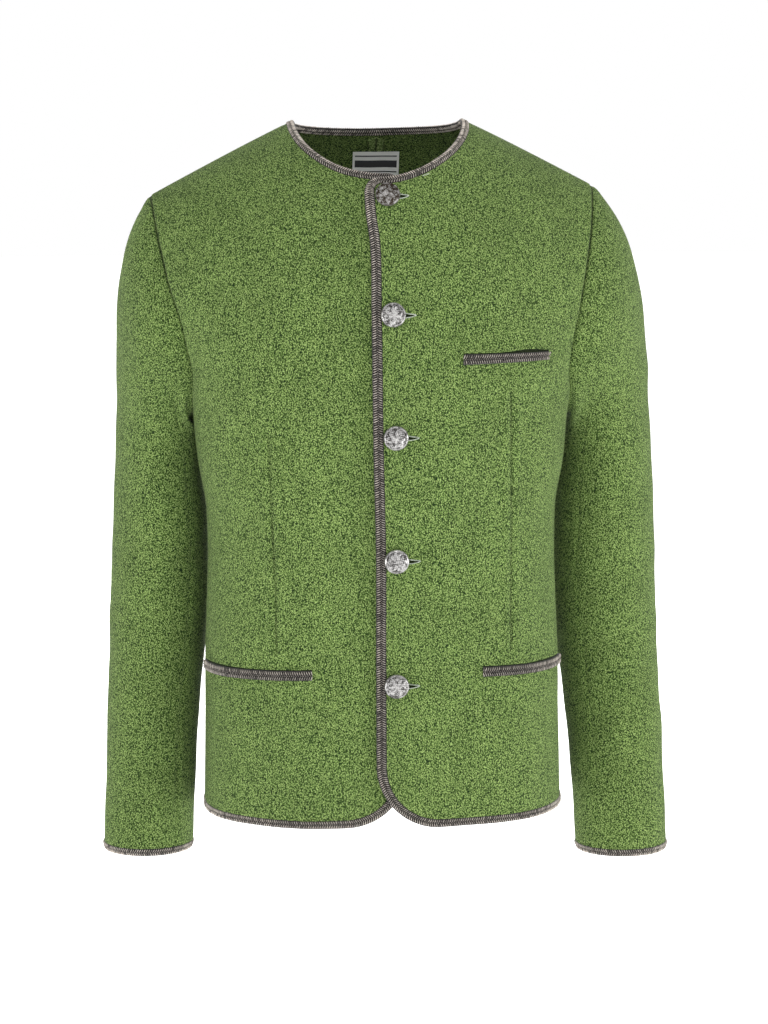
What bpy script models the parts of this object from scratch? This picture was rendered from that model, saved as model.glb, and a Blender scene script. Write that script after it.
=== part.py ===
"""Collarless boiled-wool jacket with braid-bound edges, filled out as worn: a hollow shell of cut pieces.

The origin lies midway between the two neck points of the shoulder seams. +Z is up, the fronts face -Y
and +X is the wearer's left. Lengths are in metres.

A point of the body is named by its turn (0 at the middle of a face, a quarter turn at the side seam) and
by its reach (how far down the cloth it lies from the shoulder line). Pieces are grids of such points.
"""

import math

import bpy
import numpy as np

# Cloth and braid
WOOL = 0.0030  # thickness of the boiled wool
SEAM = 0.0003  # space between two pieces at a seam
SEAM_SIDE = 0.000165  # how far each piece draws back from a straight seam, a little over half of it
ARMHOLE_SEAM = 0.00042  # the same for a sleeve at its armhole, where the facets lie aslant
BRAID_PROUD = 0.0009  # how far the braid stands over each face of the wool
FRONT_BRAID = 0.0100  # width of the braid down the front edge
EDGE_BRAID = 0.0082  # width of the braid at neck, hem and cuffs
BRAID_SHOULDER = 0.22  # share of its width over which the braid rounds off to its edge

# Body
NECK_HALF = 0.083  # half the width between the neck points
SHOULDER_SLOPE = 0.54
NECK_ROUND = 0.050  # rounds the shoulder line where it passes behind the neck
BACK_SEAM_X = 0.0045  # the centre-back seam hangs this far to the wearer's left
ARMPIT_DROP = 0.285
HEM_DROP = 0.690
RIDGE_FADE = 0.300  # the slope of the shoulders has died out this far down
FACE_SIGN = {"front": -1, "back": 1}
SIDE_TURN = {"front": math.pi / 2 - 0.0005, "back": math.pi / 2 - 0.0008}  # turn of the side seam
SHOULDER_REACH = 0.00025  # reach of the shoulder seam
ARCH = {"front": 0.200, "back": 0.160}  # how far down the shoulder arch reaches
SQUARENESS = {"front": 2.5, "back": 2.2}  # exponent of the level section
BODY_TABLE = {
    "drop": (0.000, 0.060, 0.120, 0.170, 0.220, 0.285, 0.340, 0.378, 0.415, 0.470, 0.530, 0.600, 0.690),
    "half_width": (.250, .240, .226, .212, .199, .188, .182, .1755, .174, .1755, .178, .179, .181),
    "mid_y": (0.0, 0.0, -.002, -.004, -.006, -.008, -.008, -.008, -.008, -.007, -.006, -.005, -.004),
    "front": (0.120, 0.124, 0.128, 0.131, 0.133, 0.134, 0.132, 0.130, 0.128, 0.127, 0.127, 0.127, 0.128),
    "back": (0.110, 0.116, 0.122, 0.126, 0.127, 0.124, 0.118, 0.113, 0.109, 0.108, 0.112, 0.116, 0.120),
}

# Necks and fronts; side +1 is the over front, -1 the under front
NECK_DEPTH = {"over": 0.0520, "under": 0.0460, "back": 0.0095}
NECK_CURVE = {"over": 1.65, "under": 1.90, "back": 2.60}
FRONT_EDGE = {"over": -0.0200, "under": 0.0185}  # x of the front edge at the neck
EDGE_DRIFT = {  # how far the over front's edge wanders in from there, by height
    "z": (-0.060, -0.085, -0.110, -0.180, -0.300, -0.420, -0.520, -0.640),
    "in": (0.0000, 0.0005, 0.0034, 0.0039, 0.0043, 0.0065, 0.0061, 0.0059),
}
TOP_CORNER = 0.0160  # radius of the corner at the neck
HEM_CORNER = 0.0630  # radius of the corner at the hem
TUCK = 0.0060  # how far the under front lies inside the over front
TUCK_FROM = 0.090  # it starts to go in this far from the button line
TUCK_TO = 0.035

# Armholes and sleeves
SHOULDER_HALF = {-1: 0.226, 1: 0.214}
ARMHOLE_CURVE = {"front": 2.05, "back": 1.9}
SLEEVE_TOP_Z = -0.318  # level of the ring where the sleeve head ends
CUFF_Z = {-1: -0.7380, 1: -0.7505}
SLEEVE_TABLE = {  # outer and inner x for the left sleeve (1) and the right one (-1)
    "z": (-0.318, -0.360, -0.420, -0.480, -0.540, -0.600, -0.660, -0.750),
    "outer_1": (0.2792, 0.2825, 0.2855, 0.2875, 0.2890, 0.2908, 0.2930, 0.2958),
    "inner_1": (0.1850, 0.1805, 0.1780, 0.1785, 0.1855, 0.1925, 0.1973, 0.2020),
    "outer_-1": (0.2640, 0.2662, 0.2695, 0.2730, 0.2757, 0.2783, 0.2810, 0.2852),
    "inner_-1": (0.1800, 0.1745, 0.1710, 0.1720, 0.1785, 0.1852, 0.1895, 0.1945),
    "mid_y": (0.042, 0.045, 0.047, 0.046, 0.041, 0.033, 0.023, 0.013),
    "half_depth": (0.066, 0.066, 0.064, 0.060, 0.056, 0.051, 0.047, 0.044),
    "tilt": (0.024, 0.018, 0.010, 0.004, 0.001, 0.000, 0.000, 0.000),
}
# How the cloth leaves the armhole: outward, forward and up parts, from shoulder (0) to armpit (1)
LEAVE_TABLE = {
    "at": (0.0, 0.25, 0.5, 0.75, 1.0),
    "out_1": (0.72, 0.84, 0.93, 0.70, 0.20),
    "out_-1": (0.50, 0.74, 0.92, 0.66, 0.06),
    "forward": (0.00, 0.10, 0.10, 0.00, -0.25),
    "up": (-0.69, -0.52, -0.36, -0.62, -0.90),
}
HEAD_PULL = 0.95  # how strongly the sleeve head keeps the directions at its two ends
SLEEVE_SEAM = {"front": 0.70, "back": 0.62}  # where the two sleeve pieces meet, 0 shoulder, 1 armpit

# Grid sizes
EDGE_ROWS = 12  # front edge, from hem corner to neck corner
TOP_ROWS = 2
NECK_ROWS = 8
BACK_NECK_ROWS = 5
CORNER_ROWS = 3  # half of the hem corner
ARM_ROWS = 11
SIDE_ROWS = EDGE_ROWS + TOP_ROWS + NECK_ROWS + CORNER_ROWS - ARM_ROWS
FRONT_COLUMNS = 14
BACK_COLUMNS = 12
HEAD_ROWS = 7
ARM_TUBE_ROWS = 12
NARROWING = 5  # columns over which the braid narrows beyond the hem corner
NECK_SPACING = 1.6  # above 1 the points lie closer together at the neck point
SEAM_SPACING = 1.3  # the same for the centre-back seam and the neck
PROBE = 0.0015  # step for the slopes of the surface

# Trim: welts as side, nearer x, further x, z of the middle, rise towards the side seam
WELTS = {
    "pocket_breast": (1, 0.0725, 0.1575, -0.2274, 0.0000),
    "pocket_hip_left": (1, 0.0916, 0.1752, -0.5360, -0.0035),
    "pocket_hip_right": (-1, 0.0763, 0.1772, -0.5355, -0.0045),
}
WELT_HEIGHT = 0.0098
WELT_THICK = 0.0022
WELT_CLEAR = 0.0008
WELT_STEPS = 14
BUTTONS = {
    "x": (0.0022, 0.0046, 0.0061, 0.0065, 0.0059),
    "z": (-0.0705, -0.1833, -0.3013, -0.4226, -0.5464),
}
BUTTON_RADIUS = 0.0120
BUTTON_DOME = 0.0038
BUTTON_RIM = 0.0016
BUTTON_SIDES = 16
SHANK_RADIUS = 0.0032
SHANK_HEIGHT = 0.0022
LABEL_SIZE = (0.048, 0.024)
LABEL_Z = -0.0330  # its top edge
LABEL_THICK = 0.0006
LABEL_CLEAR = 0.0020  # the label stands this far off the seam allowances
ALLOWANCE = 0.0095  # width of each seam allowance inside the centre back
ALLOWANCE_THICK = 0.0020
ALLOWANCE_CLEAR = 0.0007

MATERIALS = {
    "wool": ((0.125, 0.200, 0.055), 0.95, 0.0),
    "braid": ((0.090, 0.085, 0.070), 0.85, 0.0),
    "silver": ((0.360, 0.350, 0.330), 0.40, 1.0),
    "label": ((0.600, 0.600, 0.550), 0.75, 0.0),
}


def curve(table, key, column, at):
    """A smooth curve through one column of a table, read at the values given."""
    x = np.array(table[key], float)
    y = np.array(table[column], float)
    if x[0] > x[-1]:
        x, y = x[::-1], y[::-1]
    slope = np.gradient(y, x)
    at = np.clip(at, x[0], x[-1])
    i = np.clip(np.searchsorted(x, at) - 1, 0, len(x) - 2)
    step = x[i + 1] - x[i]
    t = (at - x[i]) / step
    rise = y[i] * (1 + 2 * t) * (1 - t) ** 2 + y[i + 1] * t * t * (3 - 2 * t)
    return rise + step * (slope[i] * t * (1 - t) ** 2 - slope[i + 1] * t * t * (1 - t))


def smooth(t):
    """0 to 1 with level ends."""
    t = np.clip(t, 0, 1)
    return t * t * (3 - 2 * t)


def unit(v):
    return v / np.maximum(np.linalg.norm(v, axis=-1, keepdims=True), 1e-12)


def ridge_height(x):
    """Height of the shoulder line over the neck point."""
    return -SHOULDER_SLOPE * (np.hypot(x, NECK_ROUND) - math.hypot(NECK_HALF, NECK_ROUND))


def ridge_left(drop):
    return 1 - smooth(drop / RIDGE_FADE)


def reach_of(face, drop):
    """Reach down the cloth for a drop under the shoulder line."""
    arch = ARCH[face]
    over = np.clip(1 - drop / arch, 0, 1)
    return arch * (math.pi / 2 - np.arcsin(over)) + np.maximum(drop - arch, 0)


def skin(face, side, turn, reach):
    """A point of the body's outer surface."""
    arch = ARCH[face]
    lean = math.pi / 2 - np.clip(reach / arch, 0, math.pi / 2)
    drop = arch * (1 - np.sin(lean)) + np.maximum(reach - arch * math.pi / 2, 0)
    half_width = curve(BODY_TABLE, "drop", "half_width", drop)
    depth = curve(BODY_TABLE, "drop", face, drop) * np.cos(lean)
    power = SQUARENESS[face]
    bulge = np.maximum(1 - np.abs(np.sin(turn)) ** power, 0) ** (1 / power)
    x = half_width * np.sin(turn)
    y = curve(BODY_TABLE, "drop", "mid_y", drop) + FACE_SIGN[face] * depth * bulge
    z = ridge_height(x) * ridge_left(drop) - drop
    return np.stack([side * x, y, z], axis=-1)


def find(face, x, z):
    """Turn and reach of the point seen at x and z from the front."""
    drop = -np.asarray(z, float)
    for _ in range(40):
        drop = np.maximum(ridge_height(x) * ridge_left(drop) - z, 0)
    turn = np.arcsin(np.clip(x / curve(BODY_TABLE, "drop", "half_width", drop), -1, 1))
    return np.stack([turn, reach_of(face, drop)], axis=-1)


def slopes(face, side, path):
    """How the surface point moves with turn and with reach, and the outward normal."""
    turn, reach = path[..., 0], path[..., 1]
    turn_to = np.minimum(turn + PROBE, math.pi / 2)
    reach_from = np.maximum(reach - PROBE, 0)
    along = skin(face, side, turn_to, reach) - skin(face, side, turn_to - 2 * PROBE, reach)
    down = skin(face, side, turn, reach_from + 2 * PROBE) - skin(face, side, turn, reach_from)
    normal = unit(np.cross(down, along)) * side * -FACE_SIGN[face]
    return along / (2 * PROBE), down / (2 * PROBE), normal


def tucked(face, side, points):
    """How deep the under front lies, so that it passes inside the over front."""
    if face == "back" or side > 0:
        return np.zeros(points.shape[:-1])
    return TUCK * smooth((TUCK_FROM + points[..., 0]) / (TUCK_FROM - TUCK_TO))


def layer(face, side, path, height):
    """Points at a height over the outer surface, under it where the height is negative."""
    points = skin(face, side, path[..., 0], path[..., 1])
    normal = slopes(face, side, path)[2]
    height = height - tucked(face, side, points)
    return points + normal * np.asarray(height)[..., None]


def inset(face, side, path, width):
    """The path moved sideways over the cloth by a width, to the left of its direction."""
    along, down, normal = slopes(face, side, path)
    points = skin(face, side, path[:, 0], path[:, 1])
    aside = unit(np.cross(normal, np.gradient(points, axis=0))) * np.reshape(width, (-1, 1))
    aa, ad, dd = (along * along).sum(-1), (along * down).sum(-1), (down * down).sum(-1)
    pa, pd = (aside * along).sum(-1), (aside * down).sum(-1)
    size = aa * dd - ad * ad
    moved = np.stack([(pa * dd - pd * ad) / size, (pd * aa - pa * ad) / size], axis=-1)
    return path + moved


def even(face, side, path, count):
    """The path again with points evenly spaced along it."""
    points = skin(face, side, path[:, 0], path[:, 1])
    gone = np.append(0, np.cumsum(np.linalg.norm(np.diff(points, axis=0), axis=1)))
    at = np.linspace(0, gone[-1], count + 1)
    return np.stack([np.interp(at, gone, path[:, k]) for k in range(2)], axis=-1)


def turn_at(x, reach_drop):
    return np.arcsin(x / curve(BODY_TABLE, "drop", "half_width", reach_drop))


def neck_path(face, name, middle_x, count=200):
    """The edge of the neck from the neck point to the middle, as seen from the front."""
    x = NECK_HALF - (NECK_HALF - middle_x) * np.linspace(0, 1, count) ** NECK_SPACING
    power = NECK_CURVE[name]
    z = -NECK_DEPTH[name] * (1 - (np.abs(x) / NECK_HALF) ** power) ** (1 / power)
    path = find(face, x, z)
    path[0, 1] = SHOULDER_REACH
    return path


def arc(x, z, radius, start, stop, count=24):
    angle = np.linspace(math.radians(start), math.radians(stop), count)
    return x + radius * np.cos(angle), z + radius * np.sin(angle)


def drift(name, z):
    """How far a front's edge wanders towards its own side."""
    if name == "under":
        return np.zeros_like(z)
    return curve(EDGE_DRIFT, "z", "in", z)


def front_outline(name, side):
    """The outer edge of a front, from the neck point round to the side seam, in its five stretches."""
    edge = FRONT_EDGE[name] * side
    low_edge = edge + drift(name, -HEM_DROP + HEM_CORNER)
    turn_x = edge + TOP_CORNER
    bend = abs(turn_x) / NECK_HALF
    neck_z = -NECK_DEPTH[name] * (1 - bend ** NECK_CURVE[name]) ** (1 / NECK_CURVE[name])
    neck = neck_path("front", name, turn_x)
    top = find("front", *arc(turn_x, neck_z - TOP_CORNER, TOP_CORNER, 90, 180))
    hem_z = -HEM_DROP
    low = find("front", *arc(low_edge + HEM_CORNER, hem_z + HEM_CORNER, HEM_CORNER, 180, 225))
    rest = find("front", *arc(low_edge + HEM_CORNER, hem_z + HEM_CORNER, HEM_CORNER, 225, 270))
    z = np.linspace(neck_z - TOP_CORNER, hem_z + HEM_CORNER, 100)
    straight = find("front", edge + drift(name, z), z)
    turn = np.linspace(rest[-1, 0], SIDE_TURN["front"], 100)
    hem = np.stack([turn, np.full_like(turn, rest[-1, 1])], axis=-1)
    return [
        even("front", side, neck, NECK_ROWS),
        even("front", side, top, TOP_ROWS),
        even("front", side, straight, EDGE_ROWS),
        even("front", side, low, CORNER_ROWS),
        even("front", side, np.concatenate([rest, hem[1:]]), FRONT_COLUMNS),
    ]


def joined(stretches):
    """One path from several that meet end to end."""
    return np.concatenate([stretches[0]] + [s[1:] for s in stretches[1:]])


def armhole(face, side, count):
    """The edge of the armhole on one face, from the armpit to the shoulder seam."""
    q = np.linspace(0, math.pi / 2, 200)
    power = 2 / ARMHOLE_CURVE[face]
    drop = ARMPIT_DROP * np.cos(q) ** power
    top_turn = float(turn_at(SHOULDER_HALF[side], 0.0))
    turn = SIDE_TURN[face] - (SIDE_TURN[face] - top_turn) * np.sin(q) ** power
    reach = np.maximum(reach_of(face, drop), SHOULDER_REACH)
    return even(face, side, np.stack([turn, reach], axis=-1), count)


def side_seam(face, side, count):
    """The side seam from the hem's braid up to the armpit."""
    drop = np.linspace(HEM_DROP - EDGE_BRAID - SEAM, ARMPIT_DROP, count + 1)
    return np.stack([np.full_like(drop, SIDE_TURN[face]), reach_of(face, drop)], axis=-1)


def share(path, face, side):
    """How far along the path each of its points lies, 0 to 1."""
    points = skin(face, side, path[:, 0], path[:, 1])
    gone = np.append(0, np.cumsum(np.linalg.norm(np.diff(points, axis=0), axis=1)))
    return gone / gone[-1]


def patch(face, side, left, right, low, high):
    """A grid of points that fills the space between four edges, rows from low to high."""
    u = (share(low, face, side) + share(high, face, side))[None, :, None] / 2
    v = (share(left, face, side) + share(right, face, side))[:, None, None] / 2
    across = (1 - u) * left[:, None] + u * right[:, None]
    up = (1 - v) * low[None] + v * high[None]
    corners = (1 - u) * (1 - v) * left[0] + u * (1 - v) * right[0]
    corners = corners + (1 - u) * v * left[-1] + u * v * right[-1]
    return across + up - corners


def shoulder_seam(start, stop, count):
    turn = np.linspace(start[0], stop[0], count + 1)
    return np.stack([turn, np.full_like(turn, SHOULDER_REACH)], axis=-1)


def front_panel(name, side):
    """Grid of a front, inside its braid."""
    stretches = front_outline(name, side)
    outline = joined(stretches)
    width = braid_width(stretches)
    inner = inset("front", side, outline, side * (width + SEAM))
    inner[0, 1] = SHOULDER_REACH
    inner[-1, 0] = SIDE_TURN["front"]
    corner = len(inner) - 1 - FRONT_COLUMNS
    left = inner[: corner + 1][::-1]
    low = inner[corner:]
    right = joined([side_seam("front", side, SIDE_ROWS), armhole("front", side, ARM_ROWS)])
    right[0] = low[-1]
    high = shoulder_seam(left[-1], right[-1], FRONT_COLUMNS)
    return patch("front", side, left, right, low, high)


def braid_width(stretches):
    """Width of the braid along a front's outline, wider down the front edge."""
    narrow, wide = EDGE_BRAID, FRONT_BRAID
    counts = [len(s) - 1 for s in stretches]
    parts = [
        np.full(counts[0] + 1, narrow),
        np.linspace(narrow, wide, counts[1] + 1)[1:],
        np.full(counts[2], wide),
        np.linspace(wide, (wide + narrow) / 2, counts[3] + 1)[1:],
        np.linspace((wide + narrow) / 2, narrow, NARROWING + 1)[1:],
    ]
    width = np.concatenate(parts)
    return np.append(width, np.full(sum(counts) + 1 - len(width), narrow))


def back_outline(side):
    """The outer edge of a half back: neck, centre seam and hem."""
    neck = neck_path("back", "back", side * BACK_SEAM_X)
    middle = (side * BACK_SEAM_X + SEAM_SIDE) / BODY_TABLE["half_width"][0]
    hem_reach = float(reach_of("back", HEM_DROP))
    turn = np.linspace(middle, SIDE_TURN["back"], 100)
    hem = np.stack([turn, np.full_like(turn, hem_reach)], axis=-1)
    return even("back", side, neck, BACK_NECK_ROWS), even("back", side, hem, BACK_COLUMNS)


def back_edges(side):
    """The cloth's own edges inside the braid at neck and hem."""
    neck, hem = back_outline(side)
    neck_in = inset("back", side, neck, -side * (EDGE_BRAID + SEAM))
    hem_in = hem - np.array([0, EDGE_BRAID + SEAM])
    neck_in[0, 1] = SHOULDER_REACH
    neck_in[-1, 0] = neck[-1, 0]
    return neck_in, hem_in


def back_middle(side):
    """The centre-back seam from hem to neck, its points closer together towards the neck."""
    neck, hem = back_edges(side)
    rows = SIDE_ROWS + ARM_ROWS - BACK_NECK_ROWS
    gone = 1 - (1 - np.linspace(0, 1, rows + 1)) ** SEAM_SPACING
    reach = hem[0, 1] + (neck[-1, 1] - hem[0, 1]) * gone
    return np.stack([np.full_like(reach, neck[-1, 0]), reach], axis=-1)


def back_panel(side):
    neck, hem = back_edges(side)
    left = joined([back_middle(side), neck[::-1]])
    right = joined([side_seam("back", side, SIDE_ROWS), armhole("back", side, ARM_ROWS)])
    right[0] = hem[-1]
    high = shoulder_seam(left[-1], right[-1], BACK_COLUMNS)
    return patch("back", side, left, right, hem, high)


def sleeve_ring(side, round_at, z):
    """A point of the sleeve's tube, round_at 0 at the outer side and a half turn at the inner side."""
    outer = curve(SLEEVE_TABLE, "z", f"outer_{side}", z)
    inner = curve(SLEEVE_TABLE, "z", f"inner_{side}", z)
    depth = curve(SLEEVE_TABLE, "z", "half_depth", z)
    x = (outer + inner) / 2 + (outer - inner) / 2 * np.cos(round_at)
    y = curve(SLEEVE_TABLE, "z", "mid_y", z) - depth * np.sin(round_at)
    tilt = curve(SLEEVE_TABLE, "z", "tilt", z)
    return np.stack([side * x, y, z + tilt * np.cos(round_at)], axis=-1)


def arm_loop(side):
    """The armhole's edge all round from shoulder over the front to the armpit and back up, with normals."""
    front = armhole("front", side, ARM_ROWS)[::-1]
    back = armhole("back", side, ARM_ROWS)
    points, normals = [], []
    for face, path in (("front", front), ("back", back)):
        points.append(skin(face, side, path[:, 0], path[:, 1]))
        normals.append(slopes(face, side, path)[2])
    shoulder, armpit = [(points[0][i] + points[1][-1 - i]) / 2 for i in (0, -1)]
    loop = np.concatenate([[shoulder], points[0][1:-1], [armpit], points[1][1:-1]])
    normal = np.concatenate([normals[0][:-1], normals[1][:-1]])
    away = unit(np.cross(normal, np.roll(loop, -1, 0) - np.roll(loop, 1, 0))) * side
    return loop, normal, away


def sleeve_grid(side):
    """Outer points of the whole sleeve, a row for each ring, and the outward normals."""
    loop, first_normal, away = arm_loop(side)
    count = len(loop)
    half = count // 2
    gone = np.append(0, np.cumsum(np.linalg.norm(np.roll(loop, -1, 0) - loop, axis=1)))
    round_at = np.empty(count)
    round_at[: half + 1] = math.pi * gone[: half + 1] / gone[half]
    rest = (gone[half:count] - gone[half]) / (gone[count] - gone[half])
    round_at[half:] = math.pi * (1 + rest)
    near = np.minimum(round_at, 2 * math.pi - round_at) / math.pi
    leave = [curve(LEAVE_TABLE, "at", key, near) for key in (f"out_{side}", "forward", "up")]
    direction = np.stack([side * leave[0], forward_part(leave[1], round_at), leave[2]], axis=-1)
    start = loop + away * ARMHOLE_SEAM
    end = sleeve_ring(side, round_at, np.full(count, SLEEVE_TOP_Z))
    below = sleeve_ring(side, round_at, np.full(count, SLEEVE_TOP_Z - 0.01))
    span = np.linalg.norm(end - start, axis=1, keepdims=True)
    leave_by = unit(direction) * span * HEAD_PULL
    arrive_by = unit(below - end) * span * HEAD_PULL
    rows = []
    for t in np.linspace(0, 1, HEAD_ROWS + 1):
        point = start * (1 + 2 * t) * (1 - t) ** 2 + end * t * t * (3 - 2 * t)
        rows.append(point + leave_by * t * (1 - t) ** 2 - arrive_by * t * t * (1 - t))
    for z in np.linspace(SLEEVE_TOP_Z, CUFF_Z[side] + EDGE_BRAID + SEAM, ARM_TUBE_ROWS + 1)[1:]:
        rows.append(sleeve_ring(side, round_at, np.full(count, z)))
    grid = np.array(rows)
    down = np.gradient(grid, axis=0)
    about = np.roll(grid, -1, 1) - np.roll(grid, 1, 1)
    normal = unit(np.cross(about, down)) * side
    normal[0] = first_normal
    return grid, normal, round_at


def forward_part(amount, round_at):
    """The forward share of the way the cloth leaves the armhole, mirrored for the back of the sleeve."""
    return np.where(round_at <= math.pi, -amount, amount * np.where(amount < 0, -1, 1))


def wall(name, outer, inner, material):
    """A closed solid from two grids of points that lie face to face."""
    rows, columns = outer.shape[:2]
    index = np.arange(rows * columns).reshape(rows, columns)
    a, b, c, d = index[:-1, :-1], index[:-1, 1:], index[1:, 1:], index[1:, :-1]
    top = np.stack([a, b, c, d], axis=-1).reshape(-1, 4)
    under = top[:, ::-1] + rows * columns
    ring = np.concatenate([index[0, :-1], index[:-1, -1], index[-1, :0:-1], index[:0:-1, 0]])
    points = np.concatenate([outer.reshape(-1, 3), inner.reshape(-1, 3)])
    faces = [list(f) for f in np.concatenate([top, under])]
    faces += rim_faces(ring, np.roll(ring, -1), rows * columns)
    return solid(name, points, faces, material)


def rim_faces(ring, after, shift):
    """Triangles round a wall's edge, split the same way on both sides of a seam."""
    faces = []
    for here, beyond in zip(ring, after):
        if beyond > here:
            faces += [(beyond, here, beyond + shift), (here, here + shift, beyond + shift)]
        else:
            faces += [(beyond, here, here + shift), (beyond, here + shift, beyond + shift)]
    return faces


def tube(name, sections, material, closed=False):
    """A closed solid through a row of sections with the same number of points each."""
    rows, columns = sections.shape[:2]
    index = np.arange(rows * columns).reshape(rows, columns)
    after_row = np.roll(index, -1, 0) if closed else index[1:]
    this_row = index if closed else index[:-1]
    faces = np.stack(
        [this_row, np.roll(this_row, -1, 1), np.roll(after_row, -1, 1), after_row], axis=-1
    )
    faces = [list(f) for f in faces.reshape(-1, 4)]
    if not closed:
        faces += [list(index[0, ::-1]), list(index[-1])]
    return solid(name, sections.reshape(-1, 3), faces, material)


def solid(name, points, faces, material):
    """One object from points and faces, turned so that its faces point outward."""
    mesh = bpy.data.meshes.new(name)
    mesh.from_pydata([tuple(p) for p in points], [], [tuple(int(i) for i in f) for f in faces])
    mesh.update()
    mesh.calc_loop_triangles()
    triangles = np.array([t.vertices[:] for t in mesh.loop_triangles])
    a, b, c = (np.asarray(points)[triangles[:, i]] for i in range(3))
    if (a * np.cross(b, c)).sum() < 0:
        mesh.flip_normals()
    mesh.shade_smooth()
    mesh.set_sharp_from_angle(angle=math.radians(50))
    mesh.materials.append(new_material(name, material))
    made = bpy.data.objects.new(name, mesh)
    bpy.context.collection.objects.link(made)
    return made


def new_material(name, kind):
    color, roughness, metallic = MATERIALS[kind]
    material = bpy.data.materials.new(f"{kind}_{name}")
    material.use_nodes = True
    shader = material.node_tree.nodes["Principled BSDF"]
    shader.inputs["Base Color"].default_value = (*color, 1.0)
    shader.inputs["Roughness"].default_value = roughness
    shader.inputs["Metallic"].default_value = metallic
    return material


def body_panel(name, face, side, grid):
    outer = layer(face, side, grid, 0.0)
    inner = layer(face, side, grid, -WOOL)
    wall(name, outer, inner, "wool")


def binding(name, face, side, outline, inner):
    """Braid between an outer and an inner path over the body's surface."""
    near = outline + (inner - outline) * BRAID_SHOULDER
    heights = ((inner, BRAID_PROUD), (near, BRAID_PROUD), (outline, -WOOL / 2))
    heights += ((near, -WOOL - BRAID_PROUD), (inner, -WOOL - BRAID_PROUD))
    sections = np.stack([layer(face, side, path, h) for path, h in heights], axis=1)
    tube(name, sections, "braid")


def make_fronts():
    for name, side in (("over", 1), ("under", -1)):
        body_panel(f"front_{name}", "front", side, front_panel(name, side))
        stretches = front_outline(name, side)
        outline = joined(stretches)
        inner = inset("front", side, outline, side * braid_width(stretches))
        inner[0, 1] = outline[0, 1]
        inner[-1, 0] = outline[-1, 0]
        binding(f"binding_{name}", "front", side, outline, inner)


def make_back():
    for name, side in (("left", 1), ("right", -1)):
        body_panel(f"back_{name}", "back", side, back_panel(side))
        neck, hem = back_outline(side)
        neck_in = inset("back", side, neck, -side * EDGE_BRAID)
        neck_in[0, 1] = neck[0, 1]
        neck_in[-1, 0] = neck[-1, 0]
        binding(f"binding_neck_{name}", "back", side, neck, neck_in)
        binding(f"binding_hem_{name}", "back", side, hem, hem - np.array([0, EDGE_BRAID]))
        make_allowance(name, side)


def make_allowance(name, side):
    """A seam allowance pressed open inside the centre back, laid on the first column of its half."""
    columns = back_panel(side)[1 : SIDE_ROWS + ARM_ROWS - BACK_NECK_ROWS, :2]
    faces = []
    for depth in (WOOL + ALLOWANCE_CLEAR, WOOL + ALLOWANCE_CLEAR + ALLOWANCE_THICK):
        edge, beside = np.moveaxis(layer("back", side, columns, -depth), 1, 0)
        width = np.linalg.norm(beside - edge, axis=1, keepdims=True)
        faces.append(np.stack([edge, edge + (beside - edge) * ALLOWANCE / width], axis=1))
    wall(f"seam_allowance_{name}", *faces, "wool")


def make_sleeves():
    for name, side in (("left", 1), ("right", -1)):
        grid, normal, round_at = sleeve_grid(side)
        inner = grid - normal * WOOL
        count = grid.shape[1]
        front = round(SLEEVE_SEAM["front"] * count / 2)
        back = count - round(SLEEVE_SEAM["back"] * count / 2)
        top = np.arange(back - count, front + 1)
        under = np.arange(front, back + 1)
        for part, columns in (("top", top), ("under", under)):
            outside = grid[:, columns % count]
            aside = seam_shift(outside)
            wall(f"sleeve_{part}_{name}", outside + aside, inner[:, columns % count] + aside, "wool")
        make_cuff(name, side, round_at)


def seam_shift(grid):
    """How far a piece's first and last columns draw in, so that it stands clear at its seams."""
    shift = np.zeros_like(grid)
    for edge, beside in ((0, 1), (-1, -2)):
        shift[:, edge] = unit(grid[:, beside] - grid[:, edge]) * SEAM_SIDE
    return shift


def make_cuff(name, side, round_at):
    """The braid round a cuff."""
    rings = []
    under = -WOOL - BRAID_PROUD
    near = BRAID_SHOULDER
    heights = ((1.0, BRAID_PROUD), (near, BRAID_PROUD), (0.0, -WOOL / 2), (near, under), (1.0, under))
    for share_up, proud in heights:
        z = CUFF_Z[side] + EDGE_BRAID * share_up
        ring = sleeve_ring(side, round_at, np.full(len(round_at), z))
        about = np.roll(ring, -1, 0) - np.roll(ring, 1, 0)
        outward = unit(np.cross(about, [0, 0, -1])) * side
        rings.append(ring + outward * proud)
    tube(f"binding_cuff_{name}", np.stack(rings, axis=1), "braid", closed=True)


def make_welts():
    """Braid welts over the pockets, laid on the fronts."""
    for name, (side, near_x, far_x, z, rise) in WELTS.items():
        path = find("front", np.linspace(near_x, far_x, 60), z + rise * np.linspace(0, 1, 60))
        path = even("front", side, path, WELT_STEPS)
        grid = np.stack([path + [0, h * WELT_HEIGHT / 2] for h in (1, -1)], axis=1)
        outer = layer("front", side, grid, WELT_CLEAR + WELT_THICK)
        inner = layer("front", side, grid, WELT_CLEAR)
        wall(name, outer, inner, "braid")


def make_buttons():
    """Domed buttons with a short shank, in a row down the button line."""
    for number, (x, z) in enumerate(zip(*BUTTONS.values()), start=1):
        path = find("front", np.array([x]), np.array([z]))
        base = layer("front", 1, path, SEAM)[0]
        normal = slopes("front", 1, path)[2][0]
        low = SHANK_HEIGHT
        profile = [(0.0, 0.0), (SHANK_RADIUS, 0.0), (SHANK_RADIUS, low), (BUTTON_RADIUS * 0.8, low)]
        profile += [(BUTTON_RADIUS, low + BUTTON_RIM * 0.4), (BUTTON_RADIUS, low + BUTTON_RIM)]
        for angle in (60, 40, 20):
            lift = low + BUTTON_RIM + BUTTON_DOME * math.cos(math.radians(angle))
            profile.append((BUTTON_RADIUS * 0.97 * math.sin(math.radians(angle)), lift))
        profile.append((0.0, low + BUTTON_RIM + BUTTON_DOME))
        turned(f"button_{number}", base, normal, profile)


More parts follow.
